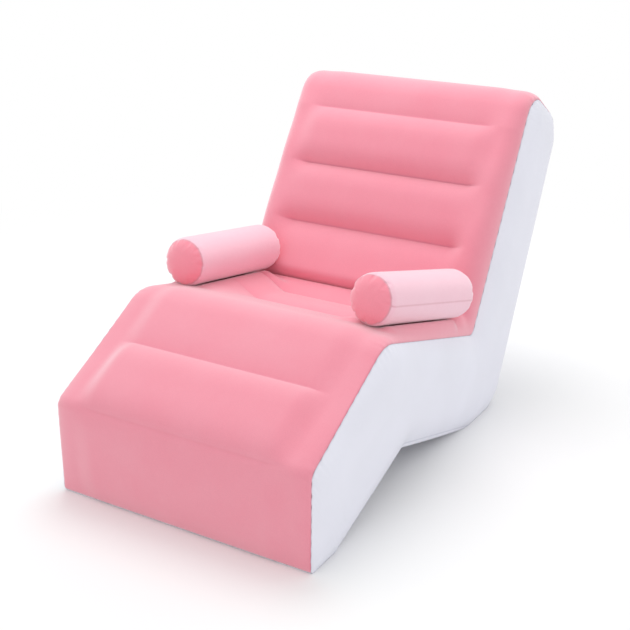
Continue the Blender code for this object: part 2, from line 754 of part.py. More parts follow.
def add_stem(name, finish, parent):
    """Valve stem of a roll: flange, tube and the lug that carries the plug's strap."""
    flange_top = STEM_FLANGE_THICKNESS / 2
    profile = [
        (STEM_BORE, -STEM_DEPTH),
        (STEM_RADIUS, -STEM_DEPTH),
        (STEM_RADIUS, -flange_top),
        (STEM_FLANGE_RADIUS, -flange_top),
        (STEM_FLANGE_RADIUS, flange_top),
        (STEM_RADIUS, flange_top),
        (STEM_RADIUS, STEM_HEIGHT),
        (STEM_BORE, STEM_HEIGHT),
    ]
    stem = add_turned(name, profile, STEM_SIDES, finish, parent)
    width = PLUG_STRAP_WIDTH / 2
    low = (-PLUG_HINGE, -width, STEM_HEIGHT - PLUG_THICKNESS)
    high = (-(STEM_RADIUS + STEM_BORE) / 2, width, STEM_HEIGHT)
    modify(stem, "UNION", add_block(name + "_lug", low, high, finish, parent))


def add_plug(name, finish, parent):
    """Plug of a roll's valve, with its origin on the strap hinge."""
    lid = STEM_HEIGHT + GAP
    hinge = add_empty(name + "_hinge", Matrix.Translation((-PLUG_HINGE, 0.0, lid)), parent)
    profile = [(0.0, -PLUG_DEPTH), (PLUG_RADIUS, -PLUG_DEPTH), (PLUG_RADIUS, 0.0), (STEM_RADIUS, 0.0)]
    profile += [(STEM_RADIUS, PLUG_THICKNESS), (0.0, PLUG_THICKNESS)]
    plug = add_turned(name, [(radius, height) for radius, height in profile], STEM_SIDES, finish, hinge)
    plug.data.transform(Matrix.Translation((PLUG_HINGE, 0.0, 0.0)))
    width = PLUG_STRAP_WIDTH / 2
    reach = PLUG_HINGE - (STEM_RADIUS + STEM_BORE) / 2
    strap = add_block(name + "_strap", (0.0, -width, 0.0), (reach, width, PLUG_THICKNESS * 0.8), finish, hinge)
    modify(plug, "UNION", strap)


def add_roll(side, frame, finishes):
    """One armrest roll with its discs, hook strip and valve."""
    body = add_empty("armrest_" + side, frame)
    label = "armrest_" + side + "_"
    add_barrel(label + "barrel", finishes["pale"], body)
    hole = STEM_FLANGE_RADIUS + GAP
    add_disc(label + "front_disc", -1, 0.0, finishes["pink"], body)
    add_disc(label + "rear_disc", 1, hole, finishes["pink"], body)
    add_hook_strip(label + "hook_strip", finishes["strip"], body)
    level = ROLL_LENGTH / 2 + GAP + ROLL_DOME * (1.0 - (hole / ROLL_END_RADIUS) ** 2) - SKIN / 2
    turn = Matrix.Rotation(math.pi / 2, 4, "Y")
    seat = add_empty(label + "valve", Matrix.Translation((level, 0.0, 0.0)) @ turn, body)
    add_stem(label + "valve_stem", finishes["clear"], seat)
    add_plug(label + "valve_plug", finishes["clear"], seat)


# Main valve


def valve_frame(grids):
    """Frame of the main valve: on the middle facet of a lobe of the rear panel, local Z outwards."""
    station = station_of(5) + BAY_STEPS[6] // 2
    low, high = grids["low"][station], grids["low"][station + 1]
    half = low.shape[0] // 2
    middle = (low[half] + high[half]) / 2
    up = unit(high[half] - low[half])
    out = unit(np.cross(up, [1.0, 0.0, 0.0]))
    out = out if out[1] > 0 else -out
    middle[0] = VALVE_INSET - SEAT_WIDTH / 2
    side = np.cross(out, up)
    turn = Matrix((Vector(up), Vector(side), Vector(out))).transposed().to_4x4()
    return Matrix.Translation(Vector(middle)) @ turn


def add_valve_base(finish, parent):
    low = VALVE_PROUD - VALVE_FLANGE_THICKNESS
    outer = COLLAR_BORE + COLLAR_WALL
    profile = [(COLLAR_BORE, VALVE_PROUD), (COLLAR_BORE, -COLLAR_DEPTH), (outer, -COLLAR_DEPTH), (outer, low)]
    profile += [(VALVE_FLANGE_RADIUS, low), (VALVE_FLANGE_RADIUS, VALVE_PROUD)]
    add_turned("valve_base", profile, VALVE_SIDES, finish, parent)


def add_valve_gasket(finish, parent):
    low = VALVE_PROUD + GAP
    high = low + GASKET_THICKNESS
    outer = COLLAR_BORE + GASKET_WIDTH
    profile = [(COLLAR_BORE, low), (outer, low), (outer, high), (COLLAR_BORE, high)]
    add_turned("valve_gasket", profile, VALVE_SIDES, finish, parent)
    return high + GAP


def add_valve_insert(seat, finish, parent):
    """Threaded insert: flange, neck, seat lip for the flap, and the lug of the cap's strap."""
    floor = seat - COLLAR_DEPTH
    shank = COLLAR_BORE - GAP
    shoulder = seat + INSERT_FLANGE_THICKNESS
    rim = shoulder + NECK_HEIGHT
    profile = [
        (THROAT_RADIUS - LIP_WIDTH, floor),
        (shank, floor),
        (shank, seat),
        (INSERT_FLANGE_RADIUS, seat),
        (INSERT_FLANGE_RADIUS, shoulder),
        (NECK_RADIUS, shoulder),
        (NECK_RADIUS, rim),
        (THROAT_RADIUS, rim),
        (THROAT_RADIUS, floor + LIP_THICKNESS),
        (THROAT_RADIUS - LIP_WIDTH, floor + LIP_THICKNESS),
    ]
    insert = add_turned("valve_insert", profile, VALVE_SIDES, finish, parent)
    width = CAP_STRAP_WIDTH / 2
    hinge = rim - CAP_SKIRT - GAP
    lug = (-CAP_HINGE, -width, shoulder - INSERT_FLANGE_THICKNESS)
    post = add_block("insert_lug", lug, (-INSERT_FLANGE_RADIUS * 0.95, width, hinge), finish, parent)
    modify(insert, "UNION", post)
    return floor, rim


def add_valve_flap(floor, finish, parent):
    """One-way flap under the seat lip, with its origin on its hinge edge."""
    radius = THROAT_RADIUS - LIP_WIDTH + FLAP_OVERLAP
    hinge = add_empty("valve_flap_hinge", Matrix.Translation((radius, 0.0, floor - GAP)), parent)
    profile = [(0.0, -FLAP_THICKNESS), (radius, -FLAP_THICKNESS), (radius, 0.0), (0.0, 0.0)]
    flap = add_turned("valve_flap", profile, VALVE_SIDES, finish, hinge)
    flap.data.transform(Matrix.Translation((-radius, 0.0, 0.0)))


def add_valve_cap(rim, finish, parent):
    """Snap cap over the neck, with its origin on the strap hinge."""
    hinge = add_empty("valve_cap_hinge", Matrix.Translation((-CAP_HINGE, 0.0, rim - CAP_SKIRT)), parent)
    inner = NECK_RADIUS + GAP
    outer = inner + CAP_WALL
    ceiling = CAP_SKIRT + GAP
    top = ceiling + CAP_THICKNESS
    profile = [(0.0, ceiling), (inner, ceiling), (inner, 0.0), (outer, 0.0), (outer, top), (0.0, top)]
    cap = add_turned("valve_cap", profile, VALVE_SIDES, finish, hinge)
    cap.data.transform(Matrix.Translation((CAP_HINGE, 0.0, 0.0)))
    width = CAP_STRAP_WIDTH / 2
    reach = CAP_HINGE - inner - CAP_WALL / 2
    high = (reach, width, CAP_STRAP_THICKNESS)
    modify(cap, "UNION", add_block("cap_strap", (0.0, -width, 0.0), high, finish, hinge))


def add_valve(grids, rear, finishes):
    """The main valve, and its hole in the rear panel."""
    place = add_empty("valve", valve_frame(grids))
    add_valve_base(finishes["white"], place)
    seat = add_valve_gasket(finishes["black"], place)
    floor, rim = add_valve_insert(seat, finishes["white"], place)
    add_valve_flap(floor, finishes["clear"], place)
    add_valve_cap(rim, finishes["white"], place)
    hole = VALVE_FLANGE_RADIUS + GAP
    depth = COLLAR_DEPTH
    profile = [(0.0, -depth), (hole, -depth), (hole, depth), (0.0, depth)]
    modify(rear, "DIFFERENCE", add_turned("valve_hole", profile, VALVE_SIDES, finishes["white"], place))


def build():
    clear_scene()
    finishes = {
        "pink": material("pink_flock", PINK, 0.95),
        "pale": material("pale_flock", PALE_PINK, 0.95),
        "white": material("white_film", WHITE, 0.35),
        "clear": material("clear_vinyl", CLEAR, 0.20),
        "strip": material("pink_fabric", STRIP_PINK, 0.90),
        "black": material("black_rubber", BLACK, 0.70),
        "web": material("web_film", WHITE, 0.50),
    }
    grids, shift = skin()
    totals = corner_normals(grids)
    inner, rear = add_chamber(grids, totals, finishes)
    names = ["web_foot", "web_shin", "web_seat_front", "web_seat_rear", "web_lumbar"]
    names += ["web_back_low", "web_back_middle", "web_back_high"]
    for bay, name in enumerate(names):
        add_web(name, inner, bay, finishes["web"])
    rolls = {
        "right": (SEAT_WIDTH / 2 - RIGHT_ROLL_INSET, RIGHT_ROLL_REACH, RIGHT_ROLL_YAW, RIGHT_ROLL_TILT),
        "left": (LEFT_ROLL_INSET - SEAT_WIDTH / 2, LEFT_ROLL_REACH, LEFT_ROLL_YAW, LEFT_ROLL_TILT),
    }
    for side, (x, reach, yaw, tilt) in rolls.items():
        frame = roll_frame(x, reach, yaw, tilt, shift)
        strip = add_seat_strip("seat_loop_strip_" + side, grids["top"], frame, finishes["strip"])
        add_roll(side, rested(frame, grids["top"], strip), finishes)
    add_valve(grids, rear, finishes)


build()
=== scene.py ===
"""Finished look of an inflatable lounge chair: flocked and plain PVC sheets, seams, armrest rolls and valves.

Metres, +Z up, +Y from the foot to the back. The sheets follow the same outline as the construction.
"""

import json
import math

import bmesh
import bpy
import numpy as np
from mathutils import Matrix, Vector, noise
from mathutils.bvhtree import BVHTree


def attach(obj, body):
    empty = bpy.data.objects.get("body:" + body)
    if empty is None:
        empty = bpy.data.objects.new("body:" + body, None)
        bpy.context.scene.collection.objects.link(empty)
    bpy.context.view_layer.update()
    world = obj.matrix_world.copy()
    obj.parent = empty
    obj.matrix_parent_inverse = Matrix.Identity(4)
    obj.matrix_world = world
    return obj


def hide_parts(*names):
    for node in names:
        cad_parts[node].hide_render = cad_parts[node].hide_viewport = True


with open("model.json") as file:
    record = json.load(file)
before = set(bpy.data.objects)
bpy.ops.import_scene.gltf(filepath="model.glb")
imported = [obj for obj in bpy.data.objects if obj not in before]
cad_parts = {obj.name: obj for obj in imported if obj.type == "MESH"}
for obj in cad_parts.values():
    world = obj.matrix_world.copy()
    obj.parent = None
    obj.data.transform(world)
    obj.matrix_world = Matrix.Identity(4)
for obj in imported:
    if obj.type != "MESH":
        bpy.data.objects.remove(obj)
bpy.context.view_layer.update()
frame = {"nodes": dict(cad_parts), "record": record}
scene = bpy.context.scene


# Camera
# The chair is seen from its right front corner and from above, through a lens a little longer than normal.

VIEW_TURN = math.radians(31.0)
VIEW_DROP = math.radians(21.6)
VIEW_DISTANCE = 2.868
VIEW_ASIDE = 0.331
VIEW_UP = 0.528
VIEW_LENS = 66.7
VIEW_SENSOR = 36.0
FRONT_TO_CENTRE = 0.7091

right_way = Vector((math.cos(VIEW_TURN), math.sin(VIEW_TURN), 0.0))
back_way = Vector(
    (
        math.sin(VIEW_TURN) * math.cos(VIEW_DROP),
        -math.cos(VIEW_TURN) * math.cos(VIEW_DROP),
        math.sin(VIEW_DROP),
    )
)
up_way = back_way.cross(right_way)
camera = bpy.data.objects.new("camera", bpy.data.cameras.new("camera"))
scene.collection.objects.link(camera)
camera.data.lens = VIEW_LENS
camera.data.sensor_width = VIEW_SENSOR
camera.matrix_world = Matrix.Translation(
    right_way * VIEW_ASIDE + up_way * VIEW_UP + back_way * VIEW_DISTANCE - Vector((0.0, FRONT_TO_CENTRE, 0.0))
) @ Matrix((right_way, up_way, back_way)).transposed().to_4x4()
scene.camera = camera


# Air chamber: outline and weld lines
# The chamber is cut from five PVC sheets, welded edge to edge along a bent side outline. Webs inside hold the
# sheets together along eight weld lines, so that they swell out in lobes between them when it is pumped up.

SEAT_WIDTH = 0.750
FOOT_HEIGHT = 0.257
FOOT_LEAN = 0.005
FOOT_LENGTH = 0.105
LEG_LENGTH = 0.391
LEG_SLOPE = math.radians(29.7)
LEG_UNDER_SLOPE = math.radians(20.6)
SEAT_LENGTH = 0.557
SEAT_SLOPE = math.radians(17.2)
SEAT_DEPTH = 0.270
BACK_LENGTH = 0.717
BACK_SLOPE = math.radians(60.4)
BACK_DEPTH_LOW = 0.290
BACK_DEPTH_TOP = 0.250
CORNER_RADII = {
    "front": 0.012,
    "shin": 0.030,
    "knee": 0.100,
    "lumbar": 0.022,
    "headrest": 0.070,
    "crest": 0.085,
    "heel": 0.100,
    "base": 0.050,
    "arch": 0.030,
    "foot_rear": 0.020,
}
SHIN_WELD_SHARE = 0.55
SEAT_WELD_SHARES = (0.51, 0.78)
BACK_WELD_SHARES = (0.32, 0.577, 0.828)
FULL_RISE = 0.060
# How far the sheets stand out of the outline at their front edge, at the eight welds in turn and at the crest:
# along the welds, along the side seams, and in the lobe of each bay between them.
TOP_WELD_RISE_SHARES = (0.0, 0.14, 0.18, 0.05, 0.30, 1.0, 0.58, 0.58, 0.54, 0.11)
TOP_EDGE_RISE_SHARES = (0.0, 0.26, 0.05, 0.50, 0.74, 1.25, 1.20, 1.0, 0.70, 0.11)
TOP_LOBE_RISE_SHARES = (0.20, 0.50, 0.28, 0.20, 0.24, 0.48, 0.50, 0.50, 0.14)
TOP_LOBE_END_SHARE = 0.50
LOW_WELD_RISE_SHARES = (0.0, 0.20, 0.25, 0.25, 0.25, 0.25, 0.36, 0.36, 0.36, 0.11)
LOW_EDGE_RISE_SHARES = (0.0, 0.25, 0.40, 0.40, 0.40, 0.30, 0.52, 0.52, 0.52, 0.11)
LOW_LOBE_RISE_SHARES = (0.0, 0.15, 0.15, 0.15, 0.10, 0.20, 0.20, 0.20, 0.20)
LOBE_FULLNESS = 3.2
EDGE_ROLL = 0.045
WELD_INSET = 0.085
WELD_FADE = 0.070
SKIN = 0.0008
OUTLINE_STEP = 0.004
CORNER_REACH_SHARE = 0.48
NORMAL_REACH = 0.090
NORMAL_SAMPLES = 37
NORMAL_FALL_SHARE = 0.5
ROW_STEP = 0.0046
LEAST_ROWS = 4
SEAM_TURN_SHARES = (0.0, 0.008, 0.022, 0.045)
EDGE_START_SHARE = 0.075
EDGE_POINTS = 11
FADE_POINTS = 10
MIDDLE_POINTS = 52


def unit(vector):
    """A vector of length one the same way."""
    return vector / np.linalg.norm(vector)


def heading(angle):
    """A step of one along a slope in the side plane, as (y, z)."""
    return np.array([math.cos(angle), math.sin(angle)])


def cross_point(start, along, other, other_along):
    """Where two straight lines of the side plane meet."""
    steps = np.linalg.solve(np.column_stack([along, -other_along]), other - start)
    return start + along * steps[0]


def rounded_corner(before, corner, after, radius):
    """Points of the arc that rounds one corner of the outline."""
    inward, outward = before - corner, after - corner
    longest = min(np.linalg.norm(inward), np.linalg.norm(outward)) * CORNER_REACH_SHARE
    inward, outward = unit(inward), unit(outward)
    half = math.acos(float(np.clip(inward @ outward, -1.0, 1.0))) / 2
    cut = min(radius / math.tan(half), longest)
    if cut <= 0:
        return [corner]
    radius = cut * math.tan(half)
    centre = corner + unit(inward + outward) * (radius / math.sin(half))
    first, last = corner + inward * cut - centre, corner + outward * cut - centre
    turn = math.atan2(first[0] * last[1] - first[1] * last[0], float(first @ last))
    count = max(2, 2 * math.ceil(abs(turn) * radius / OUTLINE_STEP / 2))
    points = []
    for step in range(count + 1):
        cos, sin = math.cos(turn * step / count), math.sin(turn * step / count)
        points.append(centre + np.array([first[0] * cos - first[1] * sin, first[0] * sin + first[1] * cos]))
    return points


class Outline:
    """The closed side outline, read by the length along it from the foot's lower front edge."""

    def __init__(self, corners):
        names = list(corners)
        places = [corners[name] for name in names]
        points, middles = [], {}
        for index, name in enumerate(names):
            before, after = places[index - 1], places[(index + 1) % len(names)]
            arc = rounded_corner(before, places[index], after, CORNER_RADII[name])
            middles[name] = len(points) + len(arc) // 2
            points += arc
        start = middles[names[0]]
        points = points[start:] + points[:start] + [points[start]]
        self.points = np.array(points)
        steps = np.linalg.norm(np.diff(self.points, axis=0), axis=1)
        self.lengths = np.concatenate([[0.0], np.cumsum(steps)])
        self.total = self.lengths[-1]
        self.corner = {name: self.lengths[(middles[name] - start) % (len(points) - 1)] for name in names}

    def at(self, lengths):
        """Points of the outline at lengths along it."""
        lengths = np.mod(lengths, self.total)
        return np.stack([np.interp(lengths, self.lengths, self.points[:, axis]) for axis in (0, 1)], axis=-1)

    def nearest(self, point):
        """Length at the outline's nearest place to a point."""
        steps = np.diff(self.points, axis=0)
        shares = ((point - self.points[:-1]) * steps).sum(axis=1) / (steps**2).sum(axis=1)
        shares = np.clip(shares, 0.0, 1.0)
        feet = self.points[:-1] + steps * shares[:, None]
        index = np.argmin(np.linalg.norm(feet - point, axis=1))
        return self.lengths[index] + shares[index] * np.linalg.norm(steps[index])

    def normals(self, lengths):
        """Outward normals, averaged over a stretch on either side so that they turn slowly past a corner."""
        total = np.zeros((len(lengths), 2))
        for share in np.linspace(-1.0, 1.0, NORMAL_SAMPLES):
            middle = np.asarray(lengths) + share * NORMAL_REACH
            along = self.at(middle + OUTLINE_STEP / 2) - self.at(middle - OUTLINE_STEP / 2)
            along /= np.linalg.norm(along, axis=1, keepdims=True)
            total += np.stack([-along[:, 1], along[:, 0]], axis=1) * (1.0 - abs(share) * NORMAL_FALL_SHARE)
        return total / np.linalg.norm(total, axis=1, keepdims=True)


floor_way = np.array([1.0, 0.0])
shin = np.array([FOOT_LEAN, FOOT_HEIGHT])
knee = shin + heading(LEG_SLOPE) * LEG_LENGTH
lumbar = knee + heading(-SEAT_SLOPE) * SEAT_LENGTH
headrest = lumbar + heading(BACK_SLOPE) * BACK_LENGTH
back_out = heading(BACK_SLOPE - math.pi / 2)
crest = headrest + back_out * BACK_DEPTH_TOP
back_foot = lumbar + back_out * BACK_DEPTH_LOW
seat_foot = knee + heading(-SEAT_SLOPE - math.pi / 2) * SEAT_DEPTH
heel = cross_point(crest, unit(back_foot - crest), np.zeros(2), floor_way)
base = cross_point(seat_foot, heading(-SEAT_SLOPE), np.zeros(2), floor_way)
foot_rear = np.array([FOOT_LENGTH, 0.0])
arch = cross_point(foot_rear, heading(LEG_UNDER_SLOPE), seat_foot, heading(-SEAT_SLOPE))
outline = Outline(
    {
        "front": np.zeros(2),
        "shin": shin,
        "knee": knee,
        "lumbar": lumbar,
        "headrest": headrest,
        "crest": crest,
        "heel": heel,
        "base": base,
        "arch": arch,
        "foot_rear": foot_rear,
    }
)

leg_weld = shin + (knee - shin) * SHIN_WELD_SHARE
leg_foot = cross_point(leg_weld, heading(LEG_SLOPE - math.pi / 2), foot_rear, unit(arch - foot_rear))
lumbar_foot = cross_point(lumbar, back_out, heel, unit(crest - heel))
web_foot = knee - outline.normals([outline.nearest((knee + lumbar) / 2)])[0] * SEAT_DEPTH
top_welds = [outline.corner["shin"], outline.nearest(leg_weld)]
top_welds += [outline.nearest(knee + (lumbar - knee) * share) for share in SEAT_WELD_SHARES]
top_welds += [outline.corner["lumbar"]]
top_welds += [outline.nearest(lumbar + (headrest - lumbar) * share) for share in BACK_WELD_SHARES]
low_welds = [outline.corner["foot_rear"], outline.nearest(leg_foot)]
low_welds += [outline.nearest(web_foot + (lumbar - knee) * share) for share in SEAT_WELD_SHARES]
low_welds += [outline.nearest((base + heel) / 2)]
low_welds += [outline.nearest(lumbar_foot + (crest - lumbar_foot) * share) for share in BACK_WELD_SHARES]
tip = outline.corner["crest"]
top_marks = [0.0, *top_welds, tip]
low_marks = [outline.total, *low_welds, tip]
bay_rows = [max(LEAST_ROWS, math.ceil((b - a) / ROW_STEP)) for a, b in zip(top_marks, top_marks[1:])]
bays = np.concatenate([[0]] + [np.full(rows, bay) for bay, rows in enumerate(bay_rows)]).astype(int)
bay_shares = np.concatenate([[0.0]] + [np.arange(1, rows + 1) / rows for rows in bay_rows])


def lengths_between(marks):
    """Lengths along the outline of the sheets' cross rows, the same number in each bay on top and below."""
    marks = np.array(marks)
    return marks[bays] + (marks[bays + 1] - marks[bays]) * bay_shares


top_lengths = lengths_between(top_marks)
low_lengths = lengths_between(low_marks)


def swelling(shares):
    """Round swelling across a bay: 0 at both ends, 1 half way."""
    return 1.0 - np.abs(2.0 * shares - 1.0) ** LOBE_FULLNESS


def smooth_step(values):
    """Values from 0 to 1 that leave and reach both ends gently."""
    values = np.clip(values, 0.0, 1.0)
    return values * values * (3.0 - 2.0 * values)


def across_places():
    """Places across a sheet from seam to seam, closest together at the seams, and how far each one rises."""
    half = SEAT_WIDTH / 2
    turns = np.concatenate([SEAM_TURN_SHARES, np.linspace(EDGE_START_SHARE, 1.0, EDGE_POINTS)]) * math.pi / 2
    roll = half - EDGE_ROLL * (1.0 - np.cos(turns))
    fade = np.linspace(half - EDGE_ROLL, half - WELD_INSET - WELD_FADE / 2, FADE_POINTS)[1:]
    middle = np.linspace(fade[-1], -fade[-1], MIDDLE_POINTS)[1:-1]
    places = np.concatenate([roll, fade, middle, -fade[::-1], -roll[::-1]])
    rises = np.sin(np.arccos(np.clip(1.0 - (half - np.abs(places)) / EDGE_ROLL, 0.0, 1.0)))
    return -places, rises


def sheet_grid(lengths, weld_shares, edge_shares, lobe_shares):
    """Points of a crowned sheet, one row for each length along the outline."""
    places, rises = across_places()
    masks = smooth_step((SEAT_WIDTH / 2 - WELD_INSET + WELD_FADE / 2 - np.abs(places)) / WELD_FADE)
    last = bays == len(bay_rows) - 1
    passing = np.where(
        (bays == 0) | last, np.sin(math.pi / 2 * bay_shares), (1.0 - np.cos(math.pi * bay_shares)) / 2
    )
    weld_shares, edge_shares = np.array(weld_shares), np.array(edge_shares)
    welds = weld_shares[bays] + (weld_shares[bays + 1] - weld_shares[bays]) * passing
    edges = edge_shares[bays] + (edge_shares[bays + 1] - edge_shares[bays]) * passing
    lobe_places = np.where(last, np.minimum(1.0, bay_shares / TOP_LOBE_END_SHARE), bay_shares)
    crowns = welds + np.array(lobe_shares)[bays] * swelling(lobe_places)
    rise = FULL_RISE * rises[None, :] * (edges[:, None] + (crowns - edges)[:, None] * masks[None, :])
    flat = outline.at(lengths)[:, None, :] + outline.normals(lengths)[:, None, :] * rise[:, :, None]
    grid = np.empty((len(lengths), len(places), 3))
    grid[:, :, 0] = places[None, :]
    grid[:, :, 1:] = flat
    return grid


def surface_normals(grid, turned):
    """Normals at a grid's points, turned outwards."""
    down = np.gradient(grid, axis=0)
    across = np.gradient(grid, axis=1)
    normals = np.cross(down, across) * turned
    sizes = np.linalg.norm(normals, axis=2, keepdims=True)
    return normals / np.maximum(sizes, 1e-12)


def cell_faces(numbers):
    """One face for each cell of a grid of point numbers."""
    corners = numbers[:-1, :-1], numbers[1:, :-1], numbers[1:, 1:], numbers[:-1, 1:]
    return np.stack(corners, axis=-1).reshape(-1, 4)


def grid_mesh(name, grid):
    """A mesh of one face for each cell of a grid, with a map of its flat lengths in metres."""
    rows, cells = grid.shape[:2]
    faces = cell_faces(np.arange(rows * cells).reshape(rows, cells))
    mesh = bpy.data.meshes.new(name)
    mesh.from_pydata(grid.reshape(-1, 3).tolist(), [], faces.tolist())
    down = np.concatenate([[0.0], np.cumsum(np.linalg.norm(np.diff(grid[:, cells // 2], axis=0), axis=1))])
    wide = np.concatenate([[0.0], np.cumsum(np.linalg.norm(np.diff(grid[rows // 2], axis=0), axis=1))])
    flat = np.stack(np.meshgrid(wide, down), axis=-1).reshape(-1, 2)
    corners = np.empty(len(mesh.loops), dtype=np.int32)
    mesh.loops.foreach_get("vertex_index", corners)
    mesh.uv_layers.new(name="cut").uv.foreach_set("vector", flat[corners].ravel())
    return mesh


def add_piece(name, mesh):
    """A new object with a mesh, linked to the scene."""
    piece = bpy.data.objects.new(name, mesh)
    scene.collection.objects.link(piece)
    return piece


def add_share(piece, name, values):
    """A value for each point of a piece, for its material to read."""
    layer = piece.data.attributes.new(name, "FLOAT", "POINT")
    layer.data.foreach_set("value", np.ravel(values).astype(np.float32))


def thicken(piece):
    """Gives an open sheet the film's thickness, inwards, and smooth shading."""
    solid = piece.modifiers.new("film", "SOLIDIFY")
    solid.thickness = SKIN
    solid.offset = -1.0
    piece.data.shade_smooth()


top_grid = sheet_grid(top_lengths, TOP_WELD_RISE_SHARES, TOP_EDGE_RISE_SHARES, TOP_LOBE_RISE_SHARES)
low_grid = sheet_grid(low_lengths, LOW_WELD_RISE_SHARES, LOW_EDGE_RISE_SHARES, LOW_LOBE_RISE_SHARES)
from_front = np.concatenate([top_grid[:, :, 1].ravel(), low_grid[:, :, 1].ravel()])
to_centre = -(from_front.min() + from_front.max()) / 2
for grid in (top_grid, low_grid):
    grid[:, :, 1] += to_centre
    grid[:, :, 2] = np.maximum(grid[:, :, 2], 0.0)


# Top sheet
# One length of PVC film, flocked pink on the outside. It covers the front of the foot, the leg rest, the knee,
# the seat, the back and the top edge. Its edges are welded to the side panels, its weld lines to the webs.

PINK = (0.840, 0.258, 0.338, 1.0)
PINK_WORN = (0.860, 0.340, 0.420, 1.0)
# Seam colour: the flock pressed flat by the welds, and painted shade in the side seams' grooves.
PINK_SEAM_AND_SHADE = (0.700, 0.170, 0.250, 1.0)
FLOCK_SHEEN = 0.85
BRUSHED_SHARE = 0.55
BRUSHED_HEIGHT = 1.6
WORN_SHARE = 0.42
# Darkening along the side seams, partly the weld and partly painted shade in the groove, and along the weld
# lines, where the flock lies pressed flat.
PRESS_WIDTH = 0.0022
SEAM_PRESS_AND_SHADE_SHARE = 0.8
WELD_PRESS_WIDTH = 0.0035
WELD_PRESS_SHARE = 0.35
WELD_END_OVERLAP = 0.012
WELD_END_FADE = 0.030
GROOVE_DEPTH = 0.0009
GROOVE_WIDTH = 0.0024
FOLD_ROWS = 5
FOOT_EASING_SHARE = 0.2
LUMBAR_EASINGS = 8
EASING_MARGIN = 0.020
PUCKER_CORNERS = {"shin": 0.050, "knee": 0.040, "headrest": 0.050, "crest": 0.050}
PUCKER_LENGTH = 0.021
PUCKER_REACH = 0.016
PUCKER_START_SHARE = 1 / 6
PUCKER_LEAST_SHARE = 0.06
PUCKER_UNEVEN_SHARE = 0.35
PUCKER_SHIFT = 2.1
PUCKER_WAVES = (17.0, 41.0, 131.0)
TOP_PUCKER_DEPTH = 0.0012
ROLL_LENGTH = 0.386
ROLL_RADIUS = 0.0675
STRIP_THICKNESS = 0.0016
GAP = 0.0003
GIVE_CORE = 0.038
GIVE_REACH = 0.150
GIVE_LIMIT = 0.045
GIVE_SOFT = 0.004
GIVE_DEPTH = 2.5 * ROLL_RADIUS


def node(tree, kind, inputs=(), **settings):
    """A node with its settings, its fixed inputs and the sockets linked to it."""
    made = tree.nodes.new(kind)
    for key, value in settings.items():
        setattr(made, key, value)
    for key, value in dict(inputs).items():
        if isinstance(value, bpy.types.NodeSocket):
            tree.links.new(value, made.inputs[key])
        else:
            made.inputs[key].default_value = value
    return made


def new_material(name):
    """A material with its node tree, its shader and the piece's own coordinates."""
    made = bpy.data.materials.new(name)
    made.use_nodes = True
    tree = made.node_tree
    return made, tree, tree.nodes["Principled BSDF"], node(tree, "ShaderNodeTexCoord").outputs["Object"]


def mottle(tree, place, scale, detail, distortion=0.0):
    """A cloudy pattern."""
    inputs = {"Vector": place, "Scale": scale, "Detail": detail, "Distortion": distortion}
    return node(tree, "ShaderNodeTexNoise", inputs).outputs[0]


def spread(tree, value, low, high, start=0.3, end=0.7):
    """A value that runs from start to end, made to run from low to high."""
    inputs = {"Value": value, "From Min": start, "From Max": end, "To Min": low, "To Max": high}
    return node(tree, "ShaderNodeMapRange", inputs).outputs[0]


def reckoned(tree, operation, *values):
    """The result of a sum on numbers and patterns."""
    return node(tree, "ShaderNodeMath", dict(enumerate(values)), operation=operation).outputs[0]


def mixed(tree, share, first, second):
    """The first colour, passing over to the second one by a share."""
    return node(tree, "ShaderNodeMix", {0: share, 6: first, 7: second}, data_type="RGBA").outputs[2]


def toned(tree, colour, strength):
    """A colour made lighter or darker by a pattern."""
    return node(tree, "ShaderNodeVectorMath", {0: colour, "Scale": strength}, operation="SCALE").outputs[0]


def pressed_flat_and_shaded(tree, colour, seam):
    """The sheet's colour, and the darker seam colour where a weld presses the sheet flat and as painted shade
    in the side seams' grooves.
    """
    weld = node(tree, "ShaderNodeAttribute", attribute_name="pressed").outputs["Fac"]
    return mixed(tree, weld, colour, seam)


def bumped(tree, height, strength, distance, under=None):
    """A surface raised and sunk by a pattern, over another one if there is one."""
    inputs = {"Height": height, "Strength": strength, "Distance": distance}
    if under is not None:
        inputs["Normal"] = under
    return node(tree, "ShaderNodeBump", inputs).outputs[0]


def flock(name, colour, worn, seam):
    """Short nylon fibres glued on film: a soft pale nap with brushed patches."""
    made, tree, shader, place = new_material(name)
    brushed = mottle(tree, place, scale=55.0, detail=4.0, distortion=0.8)
    fibres = mottle(tree, place, scale=1100.0, detail=2.0)
    clouds = mottle(tree, place, scale=7.0, detail=3.0)
    patches = spread(tree, clouds, low=0.0, high=1.0, start=0.25, end=0.8)
    nap = reckoned(tree, "MULTIPLY_ADD", brushed, BRUSHED_SHARE, patches)
    base = mixed(tree, reckoned(tree, "MULTIPLY", nap, WORN_SHARE), colour, worn)
    tone = toned(tree, base, spread(tree, fibres, low=0.93, high=1.05))
    # Towards the seam colour where seams and welds press: partly real, partly painted shade in the seams'
    # grooves.
    tree.links.new(pressed_flat_and_shaded(tree, tone, seam), shader.inputs["Base Color"])
    tree.links.new(spread(tree, brushed, low=0.86, high=0.98), shader.inputs["Roughness"])
    heights = reckoned(tree, "MULTIPLY_ADD", brushed, BRUSHED_HEIGHT, fibres)
    tree.links.new(bumped(tree, heights, strength=0.55, distance=0.00035), shader.inputs["Normal"])
    shader.inputs["Specular IOR Level"].default_value = 0.15
    shader.inputs["Sheen Weight"].default_value = FLOCK_SHEEN
    shader.inputs["Sheen Roughness"].default_value = 0.55
    shader.inputs["Sheen Tint"].default_value = (1.0, 0.93, 0.96, 1.0)
    return made


